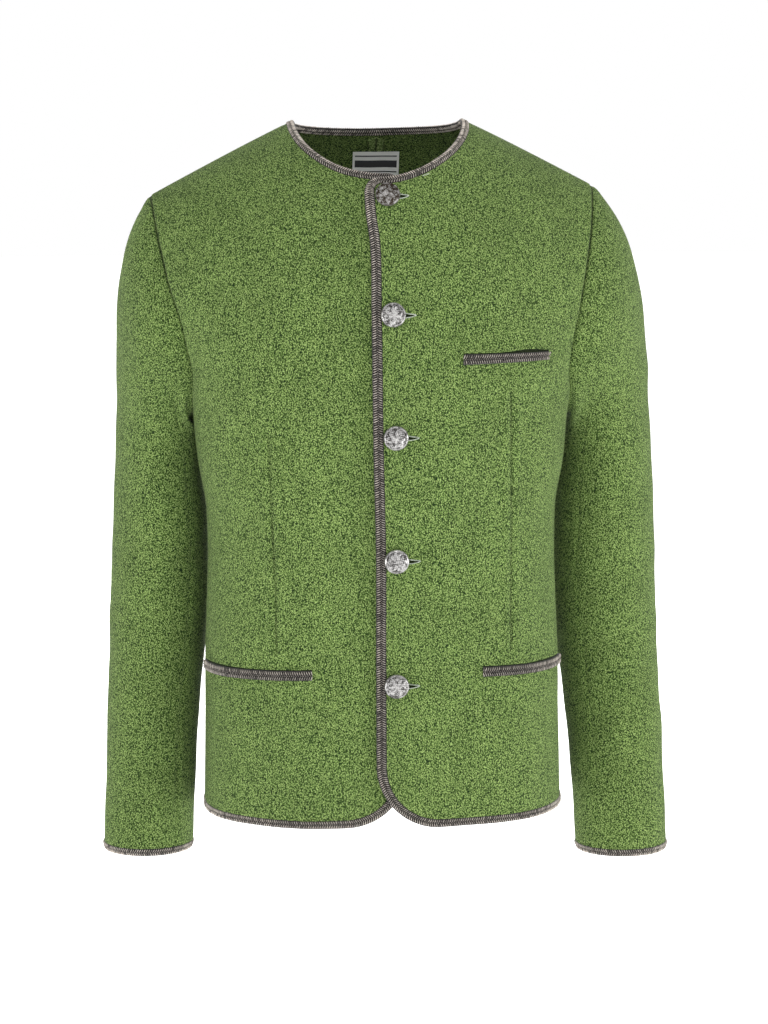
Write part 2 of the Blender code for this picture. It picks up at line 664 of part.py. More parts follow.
def turned(name, base, axis, profile):
    """A turned solid on an axis, its profile given as radius and height."""
    sides = BUTTON_SIDES
    across = unit(np.cross(axis, [1, 0, 0]))
    over = np.cross(axis, across)
    points = [base + axis * profile[0][1]]
    angle = np.linspace(0, 2 * math.pi, sides, endpoint=False)[:, None]
    spoke = across * np.cos(angle) + over * np.sin(angle)
    for radius, height in profile[1:-1]:
        points.extend(base + axis * height + spoke * radius)
    points.append(base + axis * profile[-1][1])
    faces = [(0, 1 + i, 1 + (i + 1) % sides) for i in range(sides)]
    last = len(points) - 1
    for ring in range(len(profile) - 3):
        low, high = 1 + ring * sides, 1 + (ring + 1) * sides
        for i in range(sides):
            after = (i + 1) % sides
            faces.append((low + i, high + i, high + after, low + after))
    final = last - sides
    faces += [(final + i, last, final + (i + 1) % sides) for i in range(sides)]
    solid(name, np.array(points), faces, "silver")


def make_label():
    """The woven label inside the back neck."""
    width, height = LABEL_SIZE
    under = WOOL + ALLOWANCE_THICK + LABEL_CLEAR
    x = BACK_SEAM_X + np.linspace(-width / 2, width / 2, 7)
    z = np.linspace(LABEL_Z, LABEL_Z - height, 4)
    grid = find("back", *np.meshgrid(x, z))
    outer = layer("back", 1, grid, -under)
    inner = layer("back", 1, grid, -under - LABEL_THICK)
    wall("neck_label", outer, inner, "label")


def main():
    for old in list(bpy.data.objects):
        bpy.data.objects.remove(old, do_unlink=True)
    make_fronts()
    make_back()
    make_sleeves()
    make_welts()
    make_buttons()
    make_label()


main()
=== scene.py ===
# %% [markdown]
# A collarless boiled-wool jacket with braid-bound edges, filled out as if someone wore it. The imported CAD
# model gives the size and the place of every piece. This script gives each piece its cloth: a finer surface
# with seams, darts and soft folds, braid made of real stitches, relief buttons and a felted wool finish.

# %% Load the frame
import math

import bpy
import numpy as np
from mathutils import Matrix, Vector


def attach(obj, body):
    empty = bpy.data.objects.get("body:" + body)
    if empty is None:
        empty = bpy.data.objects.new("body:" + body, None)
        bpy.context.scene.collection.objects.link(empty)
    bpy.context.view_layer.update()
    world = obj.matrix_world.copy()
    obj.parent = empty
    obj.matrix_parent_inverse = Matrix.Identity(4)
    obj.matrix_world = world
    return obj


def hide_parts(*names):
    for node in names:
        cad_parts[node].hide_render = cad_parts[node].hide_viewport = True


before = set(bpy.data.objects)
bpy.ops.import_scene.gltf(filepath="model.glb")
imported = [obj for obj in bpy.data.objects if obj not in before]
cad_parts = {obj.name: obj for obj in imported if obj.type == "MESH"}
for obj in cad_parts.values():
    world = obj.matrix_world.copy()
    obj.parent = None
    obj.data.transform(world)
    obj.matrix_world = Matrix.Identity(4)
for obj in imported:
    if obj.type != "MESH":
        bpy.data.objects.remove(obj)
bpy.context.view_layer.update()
random = np.random.default_rng(7)

# %% [markdown]
# The body is one smooth surface. A point on it has a turn, 0 at the middle of the front or back and a
# quarter turn at the side seam, and a reach, how far down the cloth it lies from the shoulder line. Tables
# hold the half width and depth at each level, read off the photo and a general figure. Because every piece
# asks the same function where the surface is, a pocket or a button always lies on the cloth.

# %% Tables of the body
WOOL = 0.0030
SEAM = 0.00003
SEAM_SIDE = 0.00003
ARMHOLE_SEAM = 0.00012
FRONT_BRAID = 0.0100
EDGE_BRAID = 0.0082
NECK_HALF = 0.083
SHOULDER_SLOPE = 0.54
NECK_ROUND = 0.050
BACK_SEAM_X = 0.0045
ARMPIT_DROP = 0.285
HEM_DROP = 0.690
RIDGE_FADE = 0.300
FACE_SIGN = {"front": -1, "back": 1}
SIDE_TURN = {"front": math.pi / 2 - 0.0001, "back": math.pi / 2 - 0.0001}
SHOULDER_REACH = 0.00004
ARCH = {"front": 0.200, "back": 0.160}
SQUARENESS = {"front": 2.5, "back": 2.2}
BODY_TABLE = {
    "drop": (0.000, 0.060, 0.120, 0.170, 0.220, 0.285, 0.340, 0.378, 0.415, 0.470, 0.530, 0.600, 0.690),
    "half_width": (.250, .240, .226, .212, .199, .188, .182, .1755, .174, .1755, .178, .179, .181),
    "mid_y": (0.0, 0.0, -.002, -.004, -.006, -.008, -.008, -.008, -.008, -.007, -.006, -.005, -.004),
    "front": (0.120, 0.124, 0.128, 0.131, 0.133, 0.134, 0.132, 0.130, 0.128, 0.127, 0.127, 0.127, 0.128),
    "back": (0.110, 0.116, 0.122, 0.126, 0.127, 0.124, 0.118, 0.113, 0.109, 0.108, 0.112, 0.116, 0.120),
}
NECK_DEPTH = {"over": 0.0520, "under": 0.0460, "back": 0.0095}
NECK_CURVE = {"over": 1.65, "under": 1.90, "back": 2.60}
FRONT_EDGE = {"over": -0.0200, "under": 0.0185}
EDGE_DRIFT = {
    "z": (-0.060, -0.085, -0.110, -0.180, -0.300, -0.420, -0.520, -0.640),
    "in": (0.0000, 0.0005, 0.0034, 0.0039, 0.0043, 0.0065, 0.0061, 0.0059),
}
TOP_CORNER = 0.0160
HEM_CORNER = 0.0630
TUCK = 0.0060
TUCK_FROM = 0.090
TUCK_TO = 0.035
SHOULDER_HALF = {-1: 0.226, 1: 0.214}
ARMHOLE_CURVE = {"front": 2.05, "back": 1.9}

# %% [markdown]
# One function, skin(), says where the cloth is, as a tailor's dummy does. The mesh could be sculpted by hand
# instead, but a formula gives the same point to a panel, to the braid beside it and to the button on it, so
# nothing gapes. find() works the other way round: from a place in the photo to a place on the cloth.

# %% The body's surface
def curve(table, key, column, at):
    """A smooth curve (cubic Hermite) through one column of a table, read at the values given."""
    x = np.array(table[key], float)
    y = np.array(table[column], float)
    if x[0] > x[-1]:
        x, y = x[::-1], y[::-1]
    slope = np.gradient(y, x)
    at = np.clip(at, x[0], x[-1])
    i = np.clip(np.searchsorted(x, at) - 1, 0, len(x) - 2)
    step = x[i + 1] - x[i]
    t = (at - x[i]) / step
    rise = y[i] * (1 + 2 * t) * (1 - t) ** 2 + y[i + 1] * t * t * (3 - 2 * t)
    return rise + step * (slope[i] * t * (1 - t) ** 2 - slope[i + 1] * t * t * (1 - t))


def smooth(t):
    """0 to 1 with level ends."""
    t = np.clip(t, 0, 1)
    return t * t * (3 - 2 * t)


def unit(v):
    """Each vector divided by its length."""
    return v / np.maximum(np.linalg.norm(v, axis=-1, keepdims=True), 1e-12)


def ridge_height(x):
    """Height of the shoulder line: a straight slope, rounded behind the neck."""
    return -SHOULDER_SLOPE * (np.hypot(x, NECK_ROUND) - math.hypot(NECK_HALF, NECK_ROUND))


def ridge_left(drop):
    """Share of the shoulder's slope still left at a drop: 1 at the top, easing to 0."""
    return 1 - smooth(drop / RIDGE_FADE)


def reach_of(face, drop):
    """Reach down the cloth: an arc over the shoulder, then straight down."""
    arch = ARCH[face]
    over = np.clip(1 - drop / arch, 0, 1)
    return arch * (math.pi / 2 - np.arcsin(over)) + np.maximum(drop - arch, 0)


def skin(face, side, turn, reach):
    """A point of the outer surface: a squared ellipse in plan, its depth closing in to the shoulder line."""
    arch = ARCH[face]
    lean = math.pi / 2 - np.clip(reach / arch, 0, math.pi / 2)
    drop = arch * (1 - np.sin(lean)) + np.maximum(reach - arch * math.pi / 2, 0)
    half_width = curve(BODY_TABLE, "drop", "half_width", drop)
    depth = curve(BODY_TABLE, "drop", face, drop) * np.cos(lean)
    power = SQUARENESS[face]
    bulge = np.maximum(1 - np.abs(np.sin(turn)) ** power, 0) ** (1 / power)
    x = half_width * np.sin(turn)
    y = curve(BODY_TABLE, "drop", "mid_y", drop) + FACE_SIGN[face] * depth * bulge
    z = ridge_height(x) * ridge_left(drop) - drop
    return np.stack([side * x, y, z], axis=-1)


def find(face, x, z):
    """Turn and reach of the point seen at x and z from the front."""
    drop = -np.asarray(z, float)
    for _ in range(40):
        drop = np.maximum(ridge_height(x) * ridge_left(drop) - z, 0)
    turn = np.arcsin(np.clip(x / curve(BODY_TABLE, "drop", "half_width", drop), -1, 1))
    return np.stack([turn, reach_of(face, drop)], axis=-1)


def slopes(face, side, path, step=0.0015):
    """How the surface point moves with turn and with reach, and the outward normal."""
    turn, reach = path[..., 0], path[..., 1]
    turn_to = np.minimum(turn + step, math.pi / 2)
    reach_from = np.maximum(reach - step, 0)
    along = skin(face, side, turn_to, reach) - skin(face, side, turn_to - 2 * step, reach)
    down = skin(face, side, turn, reach_from + 2 * step) - skin(face, side, turn, reach_from)
    normal = unit(np.cross(down, along)) * side * -FACE_SIGN[face]
    return along / (2 * step), down / (2 * step), normal


# %% [markdown]
# Boiled wool is thick and springy, so a jacket like this has few sharp folds. What the photo shows are
# shallow dents and swells: drag lines from the armholes, a soft roll beside the darts, a slight wave at the
# hem. Each is a long bump: a line across the cloth, a width and a height, fading out at its ends.

# %% Soft folds of the body
FOLDS = {  # seen from the front: ends of the line, width across and height, by face
    "front": (
        (-0.205, -0.150, -0.150, -0.215, 0.014, 0.0016),
        (-0.196, -0.240, -0.135, -0.270, 0.013, -0.0014),
        (-0.188, -0.215, -0.140, -0.175, 0.011, 0.0012),
        (0.195, -0.235, 0.140, -0.290, 0.014, -0.0015),
        (0.190, -0.190, 0.150, -0.150, 0.012, 0.0012),
        (-0.160, -0.330, -0.085, -0.410, 0.018, 0.0013),
        (0.165, -0.340, 0.090, -0.430, 0.018, 0.0013),
        (-0.095, -0.400, -0.086, -0.520, 0.012, 0.0012),
        (0.140, -0.380, 0.138, -0.510, 0.012, 0.0010),
        (0.040, -0.200, 0.038, -0.520, 0.026, 0.0020),
        (-0.060, -0.560, -0.050, -0.690, 0.020, 0.0016),
        (-0.130, -0.560, -0.140, -0.690, 0.022, -0.0016),
        (0.060, -0.570, 0.075, -0.690, 0.020, -0.0014),
        (0.130, -0.560, 0.140, -0.690, 0.022, 0.0018),
        (-0.060, -0.085, -0.130, -0.110, 0.014, 0.0009),
        (0.060, -0.090, 0.125, -0.115, 0.014, 0.0009),
    ),
    "back": (
        (-0.190, -0.150, -0.110, -0.210, 0.020, 0.0024),
        (0.190, -0.150, 0.110, -0.210, 0.020, 0.0024),
        (-0.180, -0.250, -0.090, -0.290, 0.020, -0.0022),
        (0.180, -0.240, 0.090, -0.290, 0.020, -0.0022),
        (-0.150, -0.380, -0.030, -0.400, 0.018, 0.0024),
        (0.150, -0.370, 0.020, -0.405, 0.018, 0.0024),
        (-0.140, -0.420, -0.020, -0.430, 0.014, -0.0020),
        (0.140, -0.415, 0.030, -0.435, 0.014, -0.0020),
        (-0.100, -0.500, -0.115, -0.690, 0.026, 0.0026),
        (0.095, -0.500, 0.110, -0.690, 0.026, 0.0026),
        (-0.050, -0.520, -0.055, -0.690, 0.024, -0.0018),
        (0.045, -0.520, 0.050, -0.690, 0.024, -0.0018),
        (-0.070, -0.060, -0.150, -0.085, 0.012, 0.0010),
        (0.070, -0.060, 0.150, -0.085, 0.012, 0.0010),
    ),
}
DARTS = {  # front darts by side: z from top to bottom, and x
    -1: ((-0.300, -0.381, -0.439, -0.517), (-0.1160, -0.1132, -0.1110, -0.1100)),
    1: ((-0.262, -0.330, -0.420, -0.517), (0.1198, 0.1206, 0.1209, 0.1208)),
}


def line_bump(x, z, fold):
    """Height times a bell curve across the line times a bell curve beyond its ends."""
    x0, z0, x1, z1, width, height = fold
    length = math.hypot(x1 - x0, z1 - z0)
    ax, az = (x1 - x0) / length, (z1 - z0) / length
    along = (x - x0) * ax + (z - z0) * az
    across = (x - x0) * -az + (z - z0) * ax
    beyond = np.maximum(np.maximum(-along, along - length), 0) + 0.25 * length * np.abs(along / length - 0.5)
    return height * np.exp(-((across / width) ** 2) - (beyond / (0.35 * length)) ** 2)


def swell(face, points):
    """How far the soft folds lift the cloth, dying out at the front edges and at the side seams."""
    x, z = points[..., 0], points[..., 2]
    rise = sum(line_bump(x, z, fold) for fold in FOLDS[face])
    rise += 0.0005 * np.sin(x * 61 + 2 * np.sin(z * 23)) * np.cos(z * 37 + np.sin(x * 31))
    still = smooth((np.abs(points[..., 1]) - 0.004) / 0.05)
    if face == "front":
        still = still * smooth((np.abs(x) - 0.012) / 0.035)
    return rise * still


def dart_gap(side, points):
    """Distance to the dart's line, in metres, large where there is no dart."""
    z_at, x_at = (np.array(v)[::-1] for v in DARTS[side])
    gap = np.abs(points[..., 0] - np.interp(points[..., 2], z_at, x_at))
    past = np.maximum(np.maximum(points[..., 2] - z_at[-1], z_at[0] - points[..., 2]), 0)
    return np.hypot(gap, past)


def tucked(face, side, points):
    """How deep the under front lies, so that it passes inside the over front."""
    if face == "back" or side > 0:
        return np.zeros(points.shape[:-1])
    return TUCK * smooth((TUCK_FROM + points[..., 0]) / (TUCK_FROM - TUCK_TO))


def layer(face, side, path, height):
    """Points at a height over the outer surface, soft folds included."""
    points = skin(face, side, path[..., 0], path[..., 1])
    normal = slopes(face, side, path)[2]
    height = height - tucked(face, side, points) + swell(face, points)
    return points + normal * np.asarray(height)[..., None]


# %% [markdown]
# A pattern cutter draws each panel by its edges: neck, front edge, hem, side seam, armhole and shoulder.
# The same edges are drawn here as paths over the surface, and a grid fills the space between four of them
# (a Coons patch: the mean of the two pairs of edges, less what the corners count twice).

# %% Paths over the surface
def inset(face, side, path, width):
    """The path moved sideways over the cloth by a width, to the left of its direction."""
    along, down, normal = slopes(face, side, path)
    points = skin(face, side, path[:, 0], path[:, 1])
    aside = unit(np.cross(normal, np.gradient(points, axis=0))) * np.reshape(width, (-1, 1))
    aa, ad, dd = (along * along).sum(-1), (along * down).sum(-1), (down * down).sum(-1)
    pa, pd = (aside * along).sum(-1), (aside * down).sum(-1)
    size = aa * dd - ad * ad
    moved = np.stack([(pa * dd - pd * ad) / size, (pd * aa - pa * ad) / size], axis=-1)
    return path + moved


def gone(face, side, path):
    """Length along the path up to each of its points."""
    points = skin(face, side, path[:, 0], path[:, 1])
    return np.append(0, np.cumsum(np.linalg.norm(np.diff(points, axis=0), axis=1)))


def even(face, side, path, count):
    """The path again with points evenly spaced along it."""
    length = gone(face, side, path)
    at = np.linspace(0, length[-1], count + 1)
    return np.stack([np.interp(at, length, path[:, k]) for k in range(2)], axis=-1)


def neck_path(face, name, middle_x, count=400):
    """The edge of the neck from the neck point to the middle: part of a squared ellipse."""
    x = NECK_HALF - (NECK_HALF - middle_x) * np.linspace(0, 1, count) ** 1.6
    power = NECK_CURVE[name]
    z = -NECK_DEPTH[name] * (1 - (np.abs(x) / NECK_HALF) ** power) ** (1 / power)
    path = find(face, x, z)
    path[0, 1] = SHOULDER_REACH
    return path


def arc(x, z, radius, start, stop, count=60):
    """x and z of points on part of a circle, its ends in degrees."""
    angle = np.radians(np.linspace(start, stop, count))
    return x + radius * np.cos(angle), z + radius * np.sin(angle)


def drift(name, z):
    """How far a front edge leans in at a height, read from the table; the under front is straight."""
    if name == "under":
        return np.zeros_like(z)
    return curve(EDGE_DRIFT, "z", "in", z)


def joined(stretches):
    """One path from several that meet end to end."""
    return np.concatenate([stretches[0]] + [s[1:] for s in stretches[1:]])


def front_outline(name, side):
    """The outer edge of a front, from the neck point round to the side seam, in its five stretches."""
    edge = FRONT_EDGE[name] * side
    low_edge = edge + drift(name, -HEM_DROP + HEM_CORNER)
    turn_x = edge + TOP_CORNER
    power = NECK_CURVE[name]
    neck_z = -NECK_DEPTH[name] * (1 - (abs(turn_x) / NECK_HALF) ** power) ** (1 / power)
    neck = neck_path("front", name, turn_x)
    top = find("front", *arc(turn_x, neck_z - TOP_CORNER, TOP_CORNER, 90, 180))
    low = find("front", *arc(low_edge + HEM_CORNER, HEM_CORNER - HEM_DROP, HEM_CORNER, 180, 225))
    rest = find("front", *arc(low_edge + HEM_CORNER, HEM_CORNER - HEM_DROP, HEM_CORNER, 225, 270))
    z = np.linspace(neck_z - TOP_CORNER, HEM_CORNER - HEM_DROP, 300)
    straight = find("front", edge + drift(name, z), z)
    turn = np.linspace(rest[-1, 0], SIDE_TURN["front"], 200)
    hem = np.stack([turn, np.full_like(turn, rest[-1, 1])], axis=-1)
    return [neck, top, straight, low, np.concatenate([rest, hem[1:]])]


def front_width(name, side):
    """Braid width along the outline as length and width: narrow at the neck and hem, wide down the front."""
    length = [gone("front", side, s)[-1] for s in front_outline(name, side)]
    at = np.cumsum([0] + length[:4] + [0.09])
    narrow, wide = EDGE_BRAID, FRONT_BRAID
    return at, (narrow, narrow, wide, wide, (narrow + wide) / 2, narrow)


def armhole(face, side, count):
    """The edge of the armhole from the armpit to the shoulder seam: a quarter of a squared ellipse."""
    q = np.linspace(0, math.pi / 2, 600)
    power = 2 / ARMHOLE_CURVE[face]
    drop = ARMPIT_DROP * np.cos(q) ** power
    top_turn = math.asin(SHOULDER_HALF[side] / BODY_TABLE["half_width"][0])
    turn = SIDE_TURN[face] - (SIDE_TURN[face] - top_turn) * np.sin(q) ** power
    reach = np.maximum(reach_of(face, drop), SHOULDER_REACH)
    return even(face, side, np.stack([turn, reach], axis=-1), count)


def side_seam(face, count):
    """The side seam from above the hem braid to the armpit, at even drops."""
    drop = np.linspace(HEM_DROP - EDGE_BRAID - SEAM, ARMPIT_DROP, count + 1)
    return np.stack([np.full_like(drop, SIDE_TURN[face]), reach_of(face, drop)], axis=-1)


def patch(face, side, left, right, low, high):
    """A grid of points that fills the space between four edges, rows from low to high."""
    share = [g / g[-1] for g in (gone(face, side, edge) for edge in (low, high, left, right))]
    u = (share[0] + share[1])[None, :, None] / 2
    v = (share[2] + share[3])[:, None, None] / 2
    across = (1 - u) * left[:, None] + u * right[:, None]
    up = (1 - v) * low[None] + v * high[None]
    corners = (1 - u) * (1 - v) * left[0] + u * (1 - v) * right[0]
    corners = corners + (1 - u) * v * left[-1] + u * v * right[-1]
    return across + up - corners


def shoulder_seam(start, stop, count):
    """The shoulder seam, at even turns along the shoulder line."""
    turn = np.linspace(start[0], stop[0], count + 1)
    return np.stack([turn, np.full_like(turn, SHOULDER_REACH)], axis=-1)


# %% [markdown]
# A panel could be cut out of a larger surface, but that leaves ragged edges. These grids follow the panel's
# own four edges instead, so their rows and columns run along the cloth as its threads do, and seams and
# folds can be placed by distance from an edge.

# %% The panels' grids
def front_panel(name, side, rows, columns):
    """Grid of a front inside its braid: left edge along the neck and front, low edge along the hem."""
    stretches = front_outline(name, side)
    shares = (0.32, 0.08, 0.48, 0.12)
    counts = [round(rows * share) for share in shares]
    counts[2] += rows - sum(counts)
    outline = joined([even("front", side, s, n) for s, n in zip(stretches, counts + [columns])])
    width = np.interp(gone("front", side, outline), *front_width(name, side))
    inner = inset("front", side, outline, side * (width + SEAM))
    inner[0, 1] = SHOULDER_REACH
    inner[-1, 0] = SIDE_TURN["front"]
    left = inner[: rows + 1][::-1]
    low = inner[rows:]
    arm = round(rows * 0.44)
    right = joined([side_seam("front", rows - arm), armhole("front", side, arm)])
    right[0] = low[-1]
    high = shoulder_seam(left[-1], right[-1], columns)
    return patch("front", side, left, right, low, high)


def back_outline(side):
    """The outer edges of a half back at the neck and at the hem."""
    neck = neck_path("back", "back", side * BACK_SEAM_X)
    middle = (side * BACK_SEAM_X + SEAM_SIDE) / BODY_TABLE["half_width"][0]
    turn = np.linspace(middle, SIDE_TURN["back"], 300)
    hem = np.stack([turn, np.full_like(turn, float(reach_of("back", HEM_DROP)))], axis=-1)
    return neck, hem


def back_panel(side, rows, columns):
    """Grid of half a back: its left edge is the centre seam and the neck, its low one the hem."""
    neck, hem = back_outline(side)
    neck_rows = round(rows * 0.2)
    neck = even("back", side, neck, neck_rows)
    hem = even("back", side, hem, columns)
    neck_in = inset("back", side, neck, -side * (EDGE_BRAID + SEAM))
    neck_in[0, 1] = SHOULDER_REACH
    neck_in[-1, 0] = neck[-1, 0]
    hem_in = hem - np.array([0, EDGE_BRAID + SEAM])
    share = 1 - (1 - np.linspace(0, 1, rows - neck_rows + 1)) ** 1.3
    reach = hem_in[0, 1] + (neck_in[-1, 1] - hem_in[0, 1]) * share
    middle = np.stack([np.full_like(reach, neck_in[-1, 0]), reach], axis=-1)
    left = joined([middle, neck_in[::-1]])
    arm = round(rows * 0.44)
    right = joined([side_seam("back", rows - arm), armhole("back", side, arm)])
    right[0] = hem_in[-1]
    high = shoulder_seam(left[-1], right[-1], columns)
    return patch("back", side, left, right, hem_in, high)


# %% [markdown]
# Python can hand whole arrays to a mesh. Each helper below turns points into one mesh piece: wall() closes
# two facing grids into a slab of cloth, tube() joins a row of sections, and flakes() repeats one small shape
# at thousands of places, which is how the stitches and the wool's loose fibres are made.


def solid(name, points, faces, material, attributes=None, node=None):
    """One piece from points and faces, turned so that its faces point outward."""
    mesh = bpy.data.meshes.new(name)
    mesh.from_pydata(points.tolist(), [], faces.tolist() if isinstance(faces, np.ndarray) else faces)
    mesh.update()
    mesh.calc_loop_triangles()
    triangles = np.empty(len(mesh.loop_triangles) * 3, np.int32)
    mesh.loop_triangles.foreach_get("vertices", triangles)
    a, b, c = (points[triangles[i::3]] for i in range(3))
    if (a * np.cross(b, c)).sum() < 0:
        mesh.flip_normals()
    for key, values in (attributes or {}).items():
        mark = mesh.attributes.new(key, "FLOAT", "POINT")
        mark.data.foreach_set("value", values.astype(np.float32).ravel())
    mesh.shade_smooth()
    mesh.set_sharp_from_angle(angle=math.radians(55))
    mesh.materials.append(material)
    made = bpy.data.objects.new(name, mesh)
    bpy.context.collection.objects.link(made)
    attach(made, "root")
    if node:
        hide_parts(node)
    print(name, len(triangles) // 3, "triangles")
    return made


def wall(name, outer, inner, material, seam=None, node=None):
    """A closed slab between two grids: both faces and a rim round their edges."""
    rows, columns = outer.shape[:2]
    index = np.arange(rows * columns).reshape(rows, columns)
    top = np.stack([index[:-1, :-1], index[:-1, 1:], index[1:, 1:], index[1:, :-1]], axis=-1).reshape(-1, 4)
    ring = np.concatenate([index[0, :-1], index[:-1, -1], index[-1, :0:-1], index[:0:-1, 0]])
    after = np.roll(ring, -1)
    shift = rows * columns
    rim = np.stack([after, ring, ring + shift, after + shift], axis=-1)
    points = np.concatenate([outer.reshape(-1, 3), inner.reshape(-1, 3)])
    faces = np.concatenate([top, top[:, ::-1] + shift, rim])
    away = np.full(outer.shape[:2], 0.05) if seam is None else seam
    marks = {"seam": np.concatenate([away.ravel(), np.full(shift, 0.05)])}
    return solid(name, points, faces, material, marks, node)


def tube(name, sections, material, closed=False, node=None):
    """A closed solid through sections with the same number of points each."""
    rows, columns = sections.shape[:2]
    index = np.arange(rows * columns).reshape(rows, columns)
    here = index if closed else index[:-1]
    beyond = np.roll(index, -1, 0) if closed else index[1:]
    faces = np.stack([here, np.roll(here, -1, 1), np.roll(beyond, -1, 1), beyond], axis=-1).reshape(-1, 4)
    faces = faces.tolist()
    if not closed:
        faces += [index[0, ::-1].tolist(), index[-1].tolist()]
    marks = {"tone": np.zeros(rows * columns)}
    return solid(name, sections.reshape(-1, 3), faces, material, marks, node)


def flakes(name, places, shape, faces, material, tone):
    """Copies of a small shape. places holds a centre and three edge vectors for each copy."""
    centre, long, broad, high = places
    points = centre[:, None] + shape[:, 0, None] * long[:, None] + shape[:, 1, None] * broad[:, None]
    points = points + shape[:, 2, None] * high[:, None]
    count = len(shape)
    all_faces = (np.asarray(faces)[None] + (np.arange(len(centre)) * count)[:, None, None]).reshape(-1, 3)
    marks = {"tone": np.repeat(tone, count)}
    return solid(name, points.reshape(-1, 3), all_faces, material, marks)


def dome():
    """A low dome of two rings and a top, one unit long, broad and high: 18 triangles, open below."""
    angle = np.linspace(0, 2 * math.pi, 6, endpoint=False)
    ring = np.stack([np.cos(angle), np.sin(angle), np.zeros(6)], axis=-1) / 2
    low, high = ring.copy(), ring * 0.72
    low[:, 2], high[:, 2] = -0.15, 0.62
    points = np.concatenate([low, high, [[0, 0, 1.0]]])
    faces = []
    for i in range(6):
        j = (i + 1) % 6
        faces += [(i, j, 6 + j), (i, 6 + j, 6 + i), (6 + i, 6 + j, 12)]
    return points, faces


STITCH, STITCH_FACES = dome()


# %% [markdown]
# Boiled wool is spun from fibres dyed in several greens and then felted, so up close it is a tangle of
# light and dark hairs with no weave. It is drawn by nodes, and one pattern drives both colour and bump, so
# that light and height belong together. Small helpers come first, because every material needs them.

# %% Helpers for shader nodes
def add(tree, kind, at, **settings):
    """A node with its settings; a key that names an input sets that input."""
    node = tree.nodes.new(kind)
    node.location = at
    for key, value in settings.items():
        if key in node.inputs.keys():
            node.inputs[key].default_value = value
        else:
            setattr(node, key, value)
    return node


def math_node(tree, operation, at, first, second=0.0):
    """One sum on two values, each a number or another node's output."""
    node = add(tree, "ShaderNodeMath", at, operation=operation)
    for socket, value in zip(node.inputs, (first, second)):
        if isinstance(value, bpy.types.NodeSocket):
            tree.links.new(value, socket)
        else:
            socket.default_value = value
    return node.outputs[0]


def mapped(tree, at, value, low, high, to_low=0.0, to_high=1.0):
    """A value moved from one range to another and kept inside it."""
    node = add(tree, "ShaderNodeMapRange", at)
    tree.links.new(value, node.inputs["Value"])
    for key, number in zip(("From Min", "From Max", "To Min", "To Max"), (low, high, to_low, to_high)):
        node.inputs[key].default_value = number
    return node.outputs["Result"]


def mix_color(tree, at, factor, first, second):
    """The first colour at 0, the second at 1, a blend between."""
    node = add(tree, "ShaderNodeMix", at, data_type="RGBA")
    for socket, value in ((node.inputs[0], factor), (node.inputs[6], first), (node.inputs[7], second)):
        if isinstance(value, bpy.types.NodeSocket):
            tree.links.new(value, socket)
        else:
            socket.default_value = value
    return node.outputs[2]


def new_group(name, inputs, outputs):
    """An empty node group with named sockets."""
    tree = bpy.data.node_groups.new(name, "ShaderNodeTree")
    for direction, sockets in (("INPUT", inputs), ("OUTPUT", outputs)):
        for key, kind, value in sockets:
            socket = tree.interface.new_socket(key, in_out=direction, socket_type=f"NodeSocket{kind}")
            if value is not None:
                socket.default_value = value
    start = tree.nodes.new("NodeGroupInput")
    start.location = (-1400, 0)
    end = tree.nodes.new("NodeGroupOutput")
    end.location = (900, 0)
    return tree, start, end


def noise(tree, at, vector, scale, detail=2.0, roughness=0.5, distortion=0.0):
    """Soft noise in space, from 0 to 1."""
    node = add(tree, "ShaderNodeTexNoise", at, Scale=scale, Detail=detail, Roughness=roughness)
    node.inputs["Distortion"].default_value = distortion
    tree.links.new(vector, node.inputs["Vector"])
    return node.outputs["Fac"]


# %% [markdown]
# Inside the group, close flecks stand for the ends of fibres and three sets of drawn-out noise for hairs. A
# picture of cloth could show the same, but only at one size, and it would stretch where the cloth curves.

# %% The felt group
def hairs(tree, at, vector, turn, stretch, scale):
    """Noise drawn out along one direction, like hairs that mostly lie that way."""
    place = add(tree, "ShaderNodeMapping", at)
    place.inputs["Rotation"].default_value = turn
    place.inputs["Scale"].default_value = stretch
    tree.links.new(vector, place.inputs["Vector"])
    return noise(tree, (at[0] + 200, at[1]), place.outputs[0], scale, 3.0, 0.6, 0.8)


def cells(tree, at, vector, turn, scale):
    """1 at scattered points, falling to 0 between them: flecks close together, like the ends of fibres."""
    place = add(tree, "ShaderNodeMapping", at)
    place.inputs["Rotation"].default_value = turn
    place.inputs["Scale"].default_value = (1.0, 1.0, 0.8)
    tree.links.new(vector, place.inputs["Vector"])
    node = add(tree, "ShaderNodeTexVoronoi", (at[0] + 200, at[1]), Scale=scale)
    tree.links.new(place.outputs[0], node.inputs["Vector"])
    return mapped(tree, (at[0] + 400, at[1]), node.outputs["Distance"], 0.25, 0.75, 1.0, 0.0)


